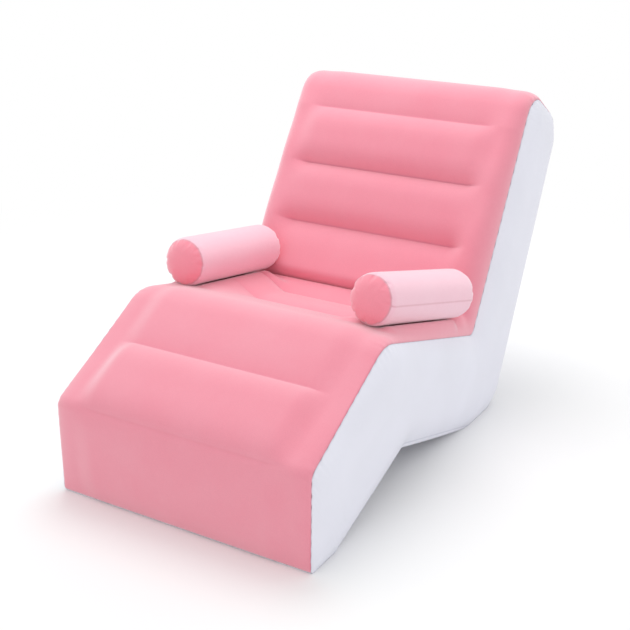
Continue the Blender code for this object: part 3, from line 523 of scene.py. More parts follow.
def from_seam(grid):
    """Distance of each grid point from the nearer side seam, along its row."""
    steps = np.linalg.norm(np.diff(grid, axis=1), axis=2)
    left = np.concatenate([np.zeros((len(grid), 1)), np.cumsum(steps, axis=1)], axis=1)
    return np.minimum(left, left[:, -1:] - left)


def seam_press_and_shade(grid):
    """How far the side seams press each grid point flat and paint shade into their groove, 1 at the seam."""
    return np.exp(-((from_seam(grid) / PRESS_WIDTH) ** 2))


def grooved(grid, turned):
    """The grid with its side edges turned in, which makes the fine groove of the seam."""
    depth = GROOVE_DEPTH * np.exp(-((from_seam(grid) / GROOVE_WIDTH) ** 2))
    return grid - surface_normals(grid, turned) * depth[:, :, None]


def cad_points(name):
    """The points of a construction node at rest."""
    solid = frame["nodes"][name]
    return np.array([solid.matrix_world @ vertex.co for vertex in solid.data.vertices])


def roll_place(side):
    """Where a roll lies: its middle, and its axis, side and upward ways as the columns of a turn."""
    label = "armrest_" + side + "_"
    front, rear = cad_points(label + "front_disc").mean(axis=0), cad_points(label + "rear_disc").mean(axis=0)
    below = cad_points(label + "hook_strip").mean(axis=0)
    ends = cad_points(label + "barrel")
    middle = (ends.min(axis=0) + ends.max(axis=0)) / 2
    along = unit(rear - front)
    up = middle - below
    up = unit(up - along * (up @ along))
    return middle, np.column_stack([along, np.cross(up, along), up])


def eased(grid, row, weights):
    """Rounds off the fold along one row: points near it move towards the mean of those along the sheet."""
    shares = np.hanning(2 * FOLD_ROWS + 3)[1:-1]
    longer = np.pad(grid, ((FOLD_ROWS, FOLD_ROWS), (0, 0), (0, 0)), mode="edge")
    mean = sum(share * longer[shift : shift + len(grid)] for shift, share in enumerate(shares)) / shares.sum()
    near = smooth_step(1.0 - np.abs(np.arange(len(grid)) - row) / (3 * FOLD_ROWS))
    return grid + (mean - grid) * (near[:, None] * weights)[:, :, None]


def seated(grid, middle, turn, inward):
    """The sheet as it gives way under a roll: it rises to meet the roll, most on the inner side."""
    local = (grid - middle) @ turn
    along, aside, high = local[:, :, 0], local[:, :, 1] * inward, local[:, :, 2]
    radius = ROLL_RADIUS + 2 * STRIP_THICKNESS + 3 * GAP
    rest = -np.sqrt(radius**2 - np.clip(aside, -GIVE_CORE, GIVE_CORE) ** 2)
    short = rest - high
    lift = np.clip((short + np.sqrt(short**2 + GIVE_SOFT**2) - GIVE_SOFT) / 2, 0.0, GIVE_LIMIT)
    ends = smooth_step((ROLL_LENGTH / 2 - np.abs(along)) / GIVE_CORE)
    far = np.where(aside > 0, GIVE_REACH, 2 * GIVE_CORE)
    sides = smooth_step((far - np.abs(aside)) / (far - GIVE_CORE))
    seam = smooth_step(from_seam(grid) / GIVE_CORE)
    below = (high < 0) & (high > -GIVE_DEPTH)
    return grid + turn[:, 2] * (lift * ends * sides * seam * below)[:, :, None]


def puckered(grid, turned, depth):
    """The grid with the short ripples that run out from its side seams where these bend."""
    away = from_seam(grid)
    strong = np.full(len(top_lengths), PUCKER_LEAST_SHARE)
    for corner, stretch in PUCKER_CORNERS.items():
        strong += np.exp(-(((top_lengths - outline.corner[corner]) / stretch) ** 2))
    slow, middling, fast = (np.sin(top_lengths * waves) for waves in PUCKER_WAVES)
    uneven = 1.0 - PUCKER_UNEVEN_SHARE + PUCKER_UNEVEN_SHARE * fast
    phase = top_lengths * 2 * math.pi / PUCKER_LENGTH + PUCKER_SHIFT * slow + middling
    ripple = (np.sin(phase) * strong * uneven)[:, None] * np.exp(-away / PUCKER_REACH)
    ripple *= 1.0 - np.exp(-away / (PUCKER_REACH * PUCKER_START_SHARE))
    return grid + surface_normals(grid, turned) * (depth * ripple)[:, :, None]


rolls = {side: roll_place(side) for side in ("right", "left")}
weld_stations = np.cumsum(bay_rows)[:-1]
weld_half = SEAT_WIDTH / 2 - WELD_INSET + WELD_END_OVERLAP
weld_masks = smooth_step((weld_half - np.abs(across_places()[0])) / WELD_END_FADE)
off_seam = smooth_step(from_seam(top_grid) / EASING_MARGIN)
top_grid = puckered(top_grid, -1.0, TOP_PUCKER_DEPTH)
top_grid = eased(top_grid, weld_stations[0], off_seam * FOOT_EASING_SHARE)
for again in range(LUMBAR_EASINGS):
    top_grid = eased(top_grid, weld_stations[4], off_seam * (1.0 - weld_masks))
for side, (middle, turn) in rolls.items():
    top_grid = seated(top_grid, middle, turn, 1 if side == "right" else -1)
pink_flock = flock("pink_flock", PINK, PINK_WORN, PINK_SEAM_AND_SHADE)
from_weld = np.min(np.abs(top_lengths[:, None] - np.array(top_welds[1:])[None, :]), axis=1)
weld_press = np.exp(-((from_weld / WELD_PRESS_WIDTH) ** 2))[:, None] * weld_masks[None, :]
top_sheet = add_piece("top_sheet_flocked", grid_mesh("top_sheet_flocked", grooved(top_grid, -1.0)))
# Darker at the side seams, the weld and painted shade in their groove, and along the weld lines, where the nap
# is pressed flat.
pressed = np.maximum(seam_press_and_shade(top_grid) * SEAM_PRESS_AND_SHADE_SHARE, weld_press * WELD_PRESS_SHARE)
add_share(top_sheet, "pressed", pressed)
thicken(top_sheet)
top_sheet.data.materials.append(pink_flock)
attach(top_sheet, "air_chamber")
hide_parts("top_sheet")


# Side panels
# Two plain white film panels cut to the side outline and welded to the other sheets all round. Air bulges them
# out between their seams.

SIDE_BULGE = 0.025
SIDE_REACH = 0.120
SIDE_CELLS = 46
NEARNESS_POWER = 3
TIP_CELL = 1e-5
SIDE_PUCKER_DEPTH = 0.0040
FILM_PRESS_AND_SHADE_SHARE = 0.5
FILM_ROUGHNESS = 0.42
WHITE = (0.810, 0.815, 0.900, 1.0)
# Grey seam colour of the white film: the weld, and painted shade in the seams' grooves.
WHITE_SEAM_AND_SHADE = (0.520, 0.520, 0.620, 1.0)


def film(name, roughness):
    """Satin white PVC film: a fine pressed grain, faint rolls in the sheet and a slightly uneven gloss."""
    made, tree, shader, place = new_material(name)
    waves = mottle(tree, place, scale=5.0, detail=3.0, distortion=0.6)
    grain = mottle(tree, place, scale=900.0, detail=2.0)
    tone = toned(tree, WHITE[:3], spread(tree, waves, low=0.975, high=1.02))
    # Greyer along the seams, partly the weld and partly painted shade in the groove.
    tree.links.new(pressed_flat_and_shaded(tree, tone, WHITE_SEAM_AND_SHADE), shader.inputs["Base Color"])
    gloss = spread(tree, waves, low=roughness - 0.05, high=roughness + 0.07)
    tree.links.new(gloss, shader.inputs["Roughness"])
    fine = bumped(tree, grain, strength=0.25, distance=0.00008)
    tree.links.new(bumped(tree, waves, strength=0.35, distance=0.004, under=fine), shader.inputs["Normal"])
    shader.inputs["Specular IOR Level"].default_value = 0.45
    return made


def side_points(side):
    """Points of a side panel, from the top sheet's seam across to the lower one."""
    shares = (1.0 - np.cos(math.pi * np.arange(SIDE_CELLS + 1) / SIDE_CELLS)) / 2
    top, low = outline.at(top_lengths), outline.at(low_lengths)
    flat = top[:, None, :] + (low - top)[:, None, :] * shares[None, :, None]
    nearness = np.zeros(flat.shape[:2])
    for start, end in ((0.0, tip), (tip, outline.total)):
        rim = outline.at(np.arange(start, end, OUTLINE_STEP))
        steps = np.linalg.norm(flat.reshape(-1, 1, 2) - rim[None], axis=2).min(axis=1)
        nearness += np.maximum(steps.reshape(nearness.shape), GAP) ** -NEARNESS_POWER
    away = nearness ** (-1 / NEARNESS_POWER)
    bulge = SIDE_BULGE * (1.0 - (1.0 - np.clip(away / SIDE_REACH, 0.0, 1.0)) ** LOBE_FULLNESS)
    grid = np.empty((*flat.shape[:2], 3))
    grid[:, :, 0] = side * (SEAT_WIDTH / 2 + bulge)
    grid[:, :, 1:] = flat
    grid[:, :, 1] += to_centre
    return grid


def merge_tips(piece):
    """Makes one point of each row that has no length, where the top and the lower seam meet."""
    merged = bmesh.new()
    merged.from_mesh(piece.data)
    bmesh.ops.remove_doubles(merged, verts=merged.verts, dist=TIP_CELL)
    bmesh.ops.dissolve_degenerate(merged, edges=merged.edges, dist=TIP_CELL)
    merged.to_mesh(piece.data)
    merged.free()


white_film = film("white_film", FILM_ROUGHNESS)
for side, name in ((-1, "left"), (1, "right")):
    panel_grid = puckered(side_points(side), side, SIDE_PUCKER_DEPTH)
    if side > 0:
        panel_grid = panel_grid[:, ::-1]
    panel = add_piece("side_panel_" + name + "_film", grid_mesh("side_panel_" + name, panel_grid))
    # A grey band along each seam, partly painted shade in its groove.
    add_share(panel, "pressed", seam_press_and_shade(panel_grid) * FILM_PRESS_AND_SHADE_SHARE)
    merge_tips(panel)
    thicken(panel)
    panel.data.materials.append(white_film)
    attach(panel, "air_chamber")
    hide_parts("side_panel_" + name)


# Underside and rear panel
# White film again, in two lengths welded to each other at the heel and to the side panels along their edges.
# The rear one has the hole that the main valve is welded in.

VALVE_FLANGE_RADIUS = 0.0280
HOLE_SIDES = 128
SHARP_ANGLE = math.radians(40.0)


def frame_matrix(middle, turn):
    """The matrix that puts a body drawn round the origin in its place."""
    place = np.eye(4)
    place[:3, :3], place[:3, 3] = turn, middle
    return Matrix(place.tolist())


def cut_hole(piece, place, radius):
    """Cuts a round hole along a place's Z through a piece, and keeps what is left as its mesh."""
    drill = bmesh.new()
    sizes = {"segments": HOLE_SIDES, "radius1": radius, "radius2": radius, "depth": 4 * radius}
    bmesh.ops.create_cone(drill, cap_ends=True, matrix=place, **sizes)
    mesh = bpy.data.meshes.new("drill")
    drill.to_mesh(mesh)
    drill.free()
    cutter = add_piece("drill", mesh)
    cut = piece.modifiers.new("hole", "BOOLEAN")
    cut.object = cutter
    whole = bpy.data.meshes.new_from_object(piece.evaluated_get(bpy.context.evaluated_depsgraph_get()))
    whole.set_sharp_from_angle(angle=SHARP_ANGLE)
    piece.modifiers.clear()
    piece.data = whole
    bpy.data.objects.remove(cutter)


joints = frame["record"]["behaviour"]["joints"]
turning = next(joint for joint in joints if joint["name"] == "main_valve_turn")
outward = np.array(turning["axis"])
valve_turn = np.column_stack([np.cross((1.0, 0.0, 0.0), outward), (1.0, 0.0, 0.0), outward])
valve_place = frame_matrix(turning["pos_m"], valve_turn)
heel_row = sum(bay_rows[:5]) + bay_rows[5] // 2
for name, rows in (("underside_panel", slice(None, heel_row + 1)), ("rear_panel", slice(heel_row, None))):
    panel_grid = low_grid[rows][:, ::-1]
    panel = add_piece(name + "_film", grid_mesh(name, panel_grid))
    # A grey band along each seam, partly painted shade in its groove.
    add_share(panel, "pressed", seam_press_and_shade(panel_grid) * FILM_PRESS_AND_SHADE_SHARE)
    panel.data.materials.append(white_film)
    thicken(panel)
    if name == "rear_panel":
        cut_hole(panel, valve_place, VALVE_FLANGE_RADIUS + GAP)
    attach(panel, "air_chamber")
    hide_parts(name)


# Armrest rolls
# A flocked tube closed by two deeper pink discs, welded edge to edge. The tube's paler pink is partly a
# lighter flock and
# partly painted light: the sheen and overhead light on its top. Pumped up hard, the discs dome out and draw
# the seams in, which puckers the film round them. Its strip holds each roll on the seat.

ROLL_DOME = 0.019
ROLL_END_RADIUS = 0.063
ROLL_AROUND = 112
ROLL_ALONG = 64
ROLL_END_ROW = 0.0025
ROLL_END_BAND = 0.008
ROLL_STEPS = 26
ROLL_CLOTH = {
    "quality": 5,
    "mass": 0.12,
    "tension_stiffness": 60.0,
    "compression_stiffness": 60.0,
    "shear_stiffness": 30.0,
    "bending_stiffness": 0.02,
    "tension_damping": 12.0,
    "air_damping": 4.0,
    "use_pressure": True,
    "uniform_pressure_force": 160.0,
}
SHAKE_DEPTH = 0.0004
SHAKE_SCALE = 60.0
SHAKE_SHIFT = {"right": 0.0, "left": 9.0}
SHAKE_SEED = 3
ROLL_CELL = 0.0012
ROLL_ROUNDING_SHARE = 0.55
ROLL_SEAM_ANGLE = math.radians(-2.0)
# Darkening at the discs' rim seams and the tube's lap seam, partly the weld and partly painted shade in the
# seam.
RIM_PRESS_AND_SHADE_SHARE = 0.8
LAP_PRESS_AND_SHADE_SHARE = 0.75
STEM_FLANGE_RADIUS = 0.0110
STEM_RIM_RING = 2
STEM_DRAWN_RINGS = 5
# The tube's pale pink: partly a paler flock, partly painted light, the sheen and overhead light on its top.
PALE_AND_LIT_PINK = (0.920, 0.540, 0.640, 1.0)
PALE_AND_LIT_WORN = (0.935, 0.620, 0.710, 1.0)
# Seam colour of the rolls, partly painted shade in the seams' grooves.
PALE_SEAM_AND_SHADE = (0.720, 0.340, 0.410, 1.0)
DEEP_PINK = (0.930, 0.270, 0.350, 1.0)
DEEP_WORN = (0.940, 0.340, 0.420, 1.0)


def disc_grid():
    """Points of a flat disc as a square grid drawn out to a circle, and how far out each one lies."""
    cells = ROLL_AROUND // 4
    places = np.linspace(-1.0, 1.0, cells + 1)
    row, column = np.meshgrid(places, places, indexing="ij")
    out = np.maximum(np.abs(row), np.abs(column))
    with np.errstate(divide="ignore", invalid="ignore"):
        steep = np.where(np.abs(row) >= np.abs(column), column / row, 2.0 - row / column)
    angle = np.where(out > 0, math.pi / 4 * np.nan_to_num(steep), 0.0)
    flip = np.where(np.abs(row) >= np.abs(column), row < 0, column < 0)
    angle = angle + np.where(flip, math.pi, 0.0)
    return np.stack([out * np.cos(angle), out * np.sin(angle)], axis=-1), out


def roll_mesh(name):
    """A tube along X with a flat disc at each end, and the numbers of faces of the tube and of a disc."""
    angles = 2 * math.pi * np.arange(ROLL_AROUND) / ROLL_AROUND
    half = ROLL_LENGTH / 2
    inner = np.linspace(-1.0, 1.0, ROLL_ALONG - 3) * (half - ROLL_END_BAND)
    along = np.concatenate([[-half, -half + ROLL_END_ROW], inner, [half - ROLL_END_ROW, half]])
    tube = np.empty((len(along), ROLL_AROUND, 3))
    tube[:, :, 0] = along[:, None]
    tube[:, :, 1] = ROLL_RADIUS * np.cos(angles)
    tube[:, :, 2] = ROLL_RADIUS * np.sin(angles)
    index = np.arange(tube.shape[0] * ROLL_AROUND).reshape(tube.shape[:2])
    after = np.roll(index, -1, axis=1)
    tube_faces = np.stack([index[:-1], after[:-1], after[1:], index[1:]], axis=-1).reshape(-1, 4)
    flat, out = disc_grid()
    points, faces = [tube.reshape(-1, 3)], [tube_faces]
    start = index.size
    inside = out < 1.0 - 1e-6
    turns = np.arctan2(flat[:, :, 1], flat[:, :, 0])
    nearest = np.round(turns / (2 * math.pi) * ROLL_AROUND).astype(int) % ROLL_AROUND
    spot = flat[inside] * ROLL_RADIUS
    for end, ring in ((-1, index[0]), (1, index[-1])):
        numbers = ring[nearest]
        numbers[inside] = start + np.arange(inside.sum())
        start += inside.sum()
        points.append(np.column_stack([np.full(len(spot), end * half), spot]))
        faces.append(cell_faces(numbers)[:, ::end])
    mesh = bpy.data.meshes.new(name)
    mesh.from_pydata(np.concatenate(points).tolist(), [], np.concatenate(faces).tolist())
    return mesh, len(faces[0]), len(faces[1])


def let_rest(piece, settings, steps):
    """Runs cloth on a piece from its drawn shape, and returns the points it comes to rest at."""
    cloth = piece.modifiers.new("air", "CLOTH")
    for key, value in settings.items():
        setattr(cloth.settings, key, value)
    cloth.settings.effector_weights.gravity = 0.0
    cloth.collision_settings.use_collision = False
    cloth.point_cache.frame_start = 1
    cloth.point_cache.frame_end = steps
    for step in range(1, steps + 1):
        scene.frame_set(step)
    shaped = piece.evaluated_get(bpy.context.evaluated_depsgraph_get())
    points = np.empty(len(shaped.data.vertices) * 3)
    shaped.data.vertices.foreach_get("co", points)
    piece.modifiers.remove(cloth)
    scene.frame_set(1)
    return points.reshape(-1, 3)


def pumped_roll(side):
    """A roll's tube and discs after pumping, scaled to its real size, lying along X round the origin."""
    mesh, tube_faces, disc_faces = roll_mesh("roll_" + side)
    piece = add_piece("roll_" + side, mesh)
    points = np.array([vertex.co for vertex in mesh.vertices])
    radius = np.hypot(points[:, 1], points[:, 2])
    drawn_along = points[:, 0].copy()
    domed = np.abs(np.abs(drawn_along) - ROLL_LENGTH / 2) < 1e-6
    noise.seed_set(SHAKE_SEED)
    shift = Vector((0.0, 0.0, SHAKE_SHIFT[side]))
    for point, vertex in zip(points, mesh.vertices):
        shake = noise.noise_vector(Vector(point) * SHAKE_SCALE + shift)
        vertex.co = Vector(point) + shake * SHAKE_DEPTH
    points = let_rest(piece, ROLL_CLOTH, ROLL_STEPS)
    middle = np.abs(points[:, 0]) < ROLL_LENGTH / 4
    points -= points[middle].mean(axis=0)
    points[:, 1:] *= ROLL_RADIUS / np.median(np.hypot(points[middle, 1], points[middle, 2]))
    points[:, 0] *= (ROLL_LENGTH / 2 + ROLL_DOME) / np.abs(points[:, 0]).max()
    row_places = np.where(domed, np.sign(points[:, 0]) * (1.0 + radius), drawn_along)
    rings = np.unique(np.round(row_places / ROLL_CELL).astype(int), return_inverse=True)[1]
    wide = np.hypot(points[:, 1], points[:, 2])
    mean = np.bincount(rings, wide) / np.bincount(rings)
    points[:, 1:] *= (1.0 + (mean[rings] / np.maximum(wide, 1e-6) - 1.0) * ROLL_ROUNDING_SHARE)[:, None]
    faces = [tuple(face.vertices) for face in mesh.polygons]
    bpy.data.objects.remove(piece)
    return points, faces, tube_faces, disc_faces


def open_for_valve(points, faces):
    """The rear disc's faces outside the valve's hole, whose rim is drawn to the stem's flange."""
    used = np.unique(np.array(faces))
    radius = np.hypot(points[used, 1], points[used, 2])
    ring = np.round(radius / ROLL_RADIUS * (ROLL_AROUND // 8)).astype(int)
    rim = used[ring == STEM_RIM_RING]
    shift = hole_level - points[rim, 0].mean()
    for number, place in zip(used, ring):
        points[number, 0] += shift * max(0.0, 1.0 - max(0, place - STEM_RIM_RING) / STEM_DRAWN_RINGS)
    points[rim, 1:] *= (hole_radius / np.hypot(points[rim, 1], points[rim, 2]))[:, None]
    points[rim, 0] = hole_level
    inner = set(used[ring < STEM_RIM_RING])
    return [face for face in faces if not inner.intersection(face)]


hole_radius = STEM_FLANGE_RADIUS + GAP
hole_level = ROLL_LENGTH / 2 + GAP + ROLL_DOME * (1.0 - (hole_radius / ROLL_END_RADIUS) ** 2)
# The tube's flock, painted paler in part for the light falling on its top.
pale_flock = flock("pale_flock", PALE_AND_LIT_PINK, PALE_AND_LIT_WORN, PALE_SEAM_AND_SHADE)
deep_flock = flock("deep_flock", DEEP_PINK, DEEP_WORN, PALE_SEAM_AND_SHADE)
barrels = {}
for side, (middle, turn) in rolls.items():
    points, faces, tube_faces, disc_faces = pumped_roll(side)
    split = tube_faces + disc_faces
    rear_faces = open_for_valve(points, faces[split:])
    placed = middle + points @ turn.T
    barrels[side] = BVHTree.FromPolygons(placed.tolist(), faces[:tube_faces])
    outer = -1 if side == "right" else 1
    angle = 2 * math.pi * np.arange(ROLL_AROUND) / ROLL_AROUND
    lap_way = (outer * math.cos(ROLL_SEAM_ANGLE), math.sin(ROLL_SEAM_ANGLE))
    lap = np.argmax(np.cos(angle) * lap_way[0] + np.sin(angle) * lap_way[1])
    rows = tube_faces // ROLL_AROUND + 1
    for part, part_faces, finish, slot_name in (
        ("barrel", faces[:tube_faces], pale_flock, "pale_flock"),
        ("front_disc", faces[tube_faces:split], deep_flock, "pink_flock"),
        ("rear_disc", rear_faces, deep_flock, "pink_flock"),
    ):
        name = "armrest_" + side + "_" + part
        used = np.unique(np.array(part_faces))
        renumber = {old: new for new, old in enumerate(used)}
        mesh = bpy.data.meshes.new(name)
        kept_faces = [[renumber[number] for number in face] for face in part_faces]
        mesh.from_pydata(placed[used].tolist(), [], kept_faces)
        piece = add_piece(name + "_film", mesh)
        row, column = used // ROLL_AROUND, used % ROLL_AROUND
        at_rim = (row == 0) | (row == rows - 1)
        at_lap = (row < rows) & (column == lap) & (part == "barrel")
        # Rim and lap seams are darkened: the weld, and painted shade in the seam.
        add_share(piece, "pressed", np.where(at_rim, RIM_PRESS_AND_SHADE_SHARE, np.where(at_lap, LAP_PRESS_AND_SHADE_SHARE, 0.0)))
        smooth = piece.modifiers.new("smooth", "SUBSURF")
        smooth.levels = smooth.render_levels = 1
        smooth.boundary_smooth = "PRESERVE_CORNERS"
        thicken(piece)
        piece.data.materials.append(finish)
        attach(piece, "armrest_" + side)
        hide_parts(name)


# Roll valves
# A soft clear vinyl stem welded into each rear disc, closed by a plug that hangs on a moulded strap.

STEM_FLANGE_THICKNESS = 0.0012
STEM_FLANGE_TOP_SHARE = 0.88
STEM_RADIUS = 0.0048
STEM_BORE = 0.0032
STEM_HEIGHT = 0.0050
STEM_DEPTH = 0.0100
STEM_FOOT_SHARE = 1.15
STEM_FOOT_HEIGHT = 0.0006
STEM_BEAD_SHARE = 1.06
STEM_BEAD_HEIGHT = 0.0012
PLUG_THICKNESS = 0.0014
PLUG_RADIUS = 0.0024
PLUG_DEPTH = 0.0025
PLUG_HINGE = 0.0080
PLUG_STRAP_WIDTH = 0.0040
PLUG_TAB = 0.0022
PLUG_TAB_LIFT = 0.0001
STRAP_STEP = 0.0002
ROUND_SIDES = 48
MOULDED_EDGE = 0.0002
MOULDED_EDGE_ANGLE = math.radians(35.0)
MILKY = (0.86, 0.88, 0.90, 1.0)


def add_turned(mesh, profile, sides, flutes=0, depth=0.0):
    """Adds a body turned round Z from (radius, height) points. Flutes scallop its outermost rings."""
    rings = []
    widest = max(radius for radius, height in profile)
    for radius, height in profile:
        if radius <= 0.0:
            rings.append([mesh.verts.new((0.0, 0.0, height))] * sides)
            continue
        ring = []
        for side in range(sides):
            angle = 2 * math.pi * side / sides
            cut = depth * (0.5 - 0.5 * math.cos(flutes * angle)) if radius > widest - 1e-6 else 0.0
            out = radius - cut
            ring.append(mesh.verts.new((out * math.cos(angle), out * math.sin(angle), height)))
        rings.append(ring)
    closed = profile[0][0] > 0.0
    for before, after in zip(rings, rings[1:] + (rings[:1] if closed else [])):
        for side in range(sides):
            other = (side + 1) % sides
            corners = [before[side], before[other], after[other], after[side]]
            corners = [corner for place, corner in enumerate(corners) if corner not in corners[:place]]
            if len(corners) > 2:
                mesh.faces.new(corners)


def add_block(mesh, low, high):
    """Adds a box between two corners."""
    low, high = Vector(low), Vector(high)
    box = bmesh.ops.create_cube(mesh, size=1.0)["verts"]
    bmesh.ops.scale(mesh, vec=high - low, verts=box)
    bmesh.ops.translate(mesh, vec=(low + high) / 2, verts=box)


def moulded(node_name, body, mesh, place, edge, finish, ending="_moulded"):
    """Turns a drawn body into a moulded piece with rounded edges, in its place, standing for its solid."""
    bmesh.ops.recalc_face_normals(mesh, faces=mesh.faces)
    mesh.transform(place)
    data = bpy.data.meshes.new(node_name + ending)
    mesh.to_mesh(data)
    mesh.free()
    piece = add_piece(node_name + ending, data)
    rounding = piece.modifiers.new("edges", "BEVEL")
    rounding.width = edge
    rounding.segments = 3
    rounding.limit_method = "ANGLE"
    rounding.angle_limit = MOULDED_EDGE_ANGLE
    data.shade_smooth()
    data.materials.append(finish)
    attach(piece, body)
    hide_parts(node_name)


def vinyl(name, colour, roughness, clear):
    """Moulded vinyl: a fine spark-eroded grain and slight marks of flow, milky where it is clear."""
    made, tree, shader, place = new_material(name)
    flow = mottle(tree, place, scale=120.0, detail=3.0, distortion=1.2)
    grain = mottle(tree, place, scale=2600.0, detail=1.0)
    tone = toned(tree, colour[:3], spread(tree, flow, low=0.98, high=1.01))
    tree.links.new(tone, shader.inputs["Base Color"])
    gloss = spread(tree, flow, low=roughness - 0.06, high=roughness + 0.06, start=0.0, end=1.0)
    tree.links.new(gloss, shader.inputs["Roughness"])
    tree.links.new(bumped(tree, grain, strength=0.2, distance=0.00005), shader.inputs["Normal"])
    shader.inputs["IOR"].default_value = 1.53
    shader.inputs["Transmission Weight"].default_value = clear
    return made


clear_vinyl = vinyl("clear_vinyl", MILKY, roughness=0.24, clear=0.75)
flange_top = STEM_FLANGE_THICKNESS / 2
strap = PLUG_STRAP_WIDTH / 2
strap_end = (STEM_RADIUS + STEM_BORE) / 2
lid = STEM_HEIGHT + GAP
stem_profile = [
    (STEM_BORE, -STEM_DEPTH),
    (STEM_RADIUS, -STEM_DEPTH),
    (STEM_RADIUS, -flange_top),
    (STEM_FLANGE_RADIUS, -flange_top),
    (STEM_FLANGE_RADIUS, 0.0),
    (STEM_FLANGE_RADIUS * STEM_FLANGE_TOP_SHARE, flange_top),
    (STEM_RADIUS * STEM_FOOT_SHARE, flange_top),
    (STEM_RADIUS, flange_top + STEM_FOOT_HEIGHT),
    (STEM_RADIUS, STEM_HEIGHT - STEM_BEAD_HEIGHT),
    (STEM_RADIUS * STEM_BEAD_SHARE, STEM_HEIGHT - STEM_BEAD_HEIGHT / 2),
    (STEM_RADIUS, STEM_HEIGHT),
    (STEM_BORE, STEM_HEIGHT),
]
plug_profile = [
    (0.0, lid - PLUG_DEPTH),
    (PLUG_RADIUS * 0.8, lid - PLUG_DEPTH),
    (PLUG_RADIUS, lid - PLUG_DEPTH * 0.7),
    (PLUG_RADIUS * 0.9, lid),
    (STEM_RADIUS, lid),
    (STEM_RADIUS, lid + PLUG_THICKNESS * 0.7),
    (STEM_RADIUS * 0.8, lid + PLUG_THICKNESS),
    (0.0, lid + PLUG_THICKNESS * 0.8),
]
for side, (middle, turn) in rolls.items():
    along, across, up = turn.T
    place = frame_matrix(middle + along * (hole_level - SKIN / 2), np.column_stack([-up, across, along]))
    label = "armrest_" + side
    stem = bmesh.new()
    add_turned(stem, stem_profile, ROUND_SIDES)
    strap_low, strap_high = STEM_HEIGHT - PLUG_THICKNESS, STEM_HEIGHT - STRAP_STEP
    add_block(stem, (-PLUG_HINGE, -strap, strap_low), (-strap_end, strap, strap_high))
    moulded(label + "_valve_stem", label, stem, place, MOULDED_EDGE, clear_vinyl)
    plug = bmesh.new()
    add_turned(plug, plug_profile, ROUND_SIDES)
    add_block(plug, (-PLUG_HINGE, -strap, lid), (-strap_end, strap, lid + PLUG_THICKNESS * 0.8))
    tab_start = (STEM_RADIUS * 0.8, -strap * 0.8, lid + PLUG_TAB_LIFT)
    add_block(plug, tab_start, (STEM_RADIUS + PLUG_TAB, strap * 0.8, lid + PLUG_THICKNESS * 0.7))
    moulded(label + "_valve_plug", label + "_plug", plug, place, MOULDED_EDGE, clear_vinyl)


# Hook and loop strips
# A strip of woven tape welded under each roll and one on the seat beneath it. The roll's carries stiff hooks,
# the seat's soft loops, and pressed together they hold the roll.

STRIP_SHARE = 0.50
STRIP_WIDTH = 0.026
TAPE_THICKNESS = 0.0008
TAPE_POINTS_ALONG = 49
TAPE_POINTS_ACROSS = 9
BRISTLE_SPACING = 0.0021
BRISTLE_DENSITY = 250000.0
BRISTLE_LEAN = (0.25, 0.25, 3.14)
NAP_HEIGHT = STRIP_THICKNESS - TAPE_THICKNESS
HOOK_RADIUS = 0.00012
HOOK_BEND = 0.0002
HOOK_TIP = 0.0005
HOOK_SEED = 3
LOOP_RADIUS = 0.00009
LOOP_HALF = 0.0003
LOOP_SEED = 5
STRIP_PINK = (0.640, 0.170, 0.240, 1.0)


def tape(name, colour):
    """Woven nylon tape: fine crossed threads, matt, with a slightly uneven dye."""
    made, tree, shader, place = new_material(name)
    weave = {"Vector": place, "Scale": 420.0, "Distortion": 0.6}
    across = node(tree, "ShaderNodeTexWave", weave).outputs[1]
    down = node(tree, "ShaderNodeTexWave", weave, bands_direction="Y").outputs[1]
    clouds = mottle(tree, place, scale=60.0, detail=3.0)
    dye = spread(tree, clouds, low=0.82, high=1.12, start=0.0, end=1.0)
    tree.links.new(toned(tree, colour[:3], dye), shader.inputs["Base Color"])
    threads = reckoned(tree, "MULTIPLY", across, down)
    tree.links.new(bumped(tree, threads, strength=0.5, distance=0.0002), shader.inputs["Normal"])
    shader.inputs["Roughness"].default_value = 0.82
    shader.inputs["Sheen Weight"].default_value = 0.3
    return made


def bristle_group():
    """Stands a bristle on spots spread over a face of tape, each turned and leant a little at random."""
    group = bpy.data.node_groups.new("bristles", "GeometryNodeTree")
    face = group.interface
    face.new_socket("Tape", in_out="INPUT", socket_type="NodeSocketGeometry")
    sockets = {}
    for name, kind in (("Bristle", "Object"), ("Spacing", "Float"), ("Seed", "Int"), ("Finish", "Material")):
        sockets[name] = face.new_socket(name, in_out="INPUT", socket_type="NodeSocket" + kind).identifier
    face.new_socket("Tape", in_out="OUTPUT", socket_type="NodeSocketGeometry")
    given = group.nodes.new("NodeGroupInput").outputs
    result = group.nodes.new("NodeGroupOutput")
    spread_out = {"Mesh": given["Tape"], "Distance Min": given["Spacing"], "Density Max": BRISTLE_DENSITY}
    spread_out["Seed"] = given["Seed"]
    spots = node(group, "GeometryNodeDistributePointsOnFaces", spread_out, distribute_method="POISSON")
    shape = node(group, "GeometryNodeObjectInfo", {"Object": given["Bristle"]})
    limits = {0: [-lean for lean in BRISTLE_LEAN], 1: BRISTLE_LEAN, "Seed": given["Seed"]}
    lean = node(group, "FunctionNodeRandomValue", limits, data_type="FLOAT_VECTOR")
    standing = {"Points": spots.outputs["Points"], "Rotation": spots.outputs["Rotation"]}
    standing["Instance"] = shape.outputs["Geometry"]
    stood = node(group, "GeometryNodeInstanceOnPoints", standing)
    leant = {"Instances": stood.outputs[0], "Rotation": lean.outputs[0]}
    turned = node(group, "GeometryNodeRotateInstances", leant)
    real = node(group, "GeometryNodeRealizeInstances", {"Geometry": turned.outputs[0]})
    covered = {"Geometry": real.outputs[0], "Material": given["Finish"]}
    group.links.new(node(group, "GeometryNodeSetMaterial", covered).outputs[0], result.inputs[0])
    return group, sockets


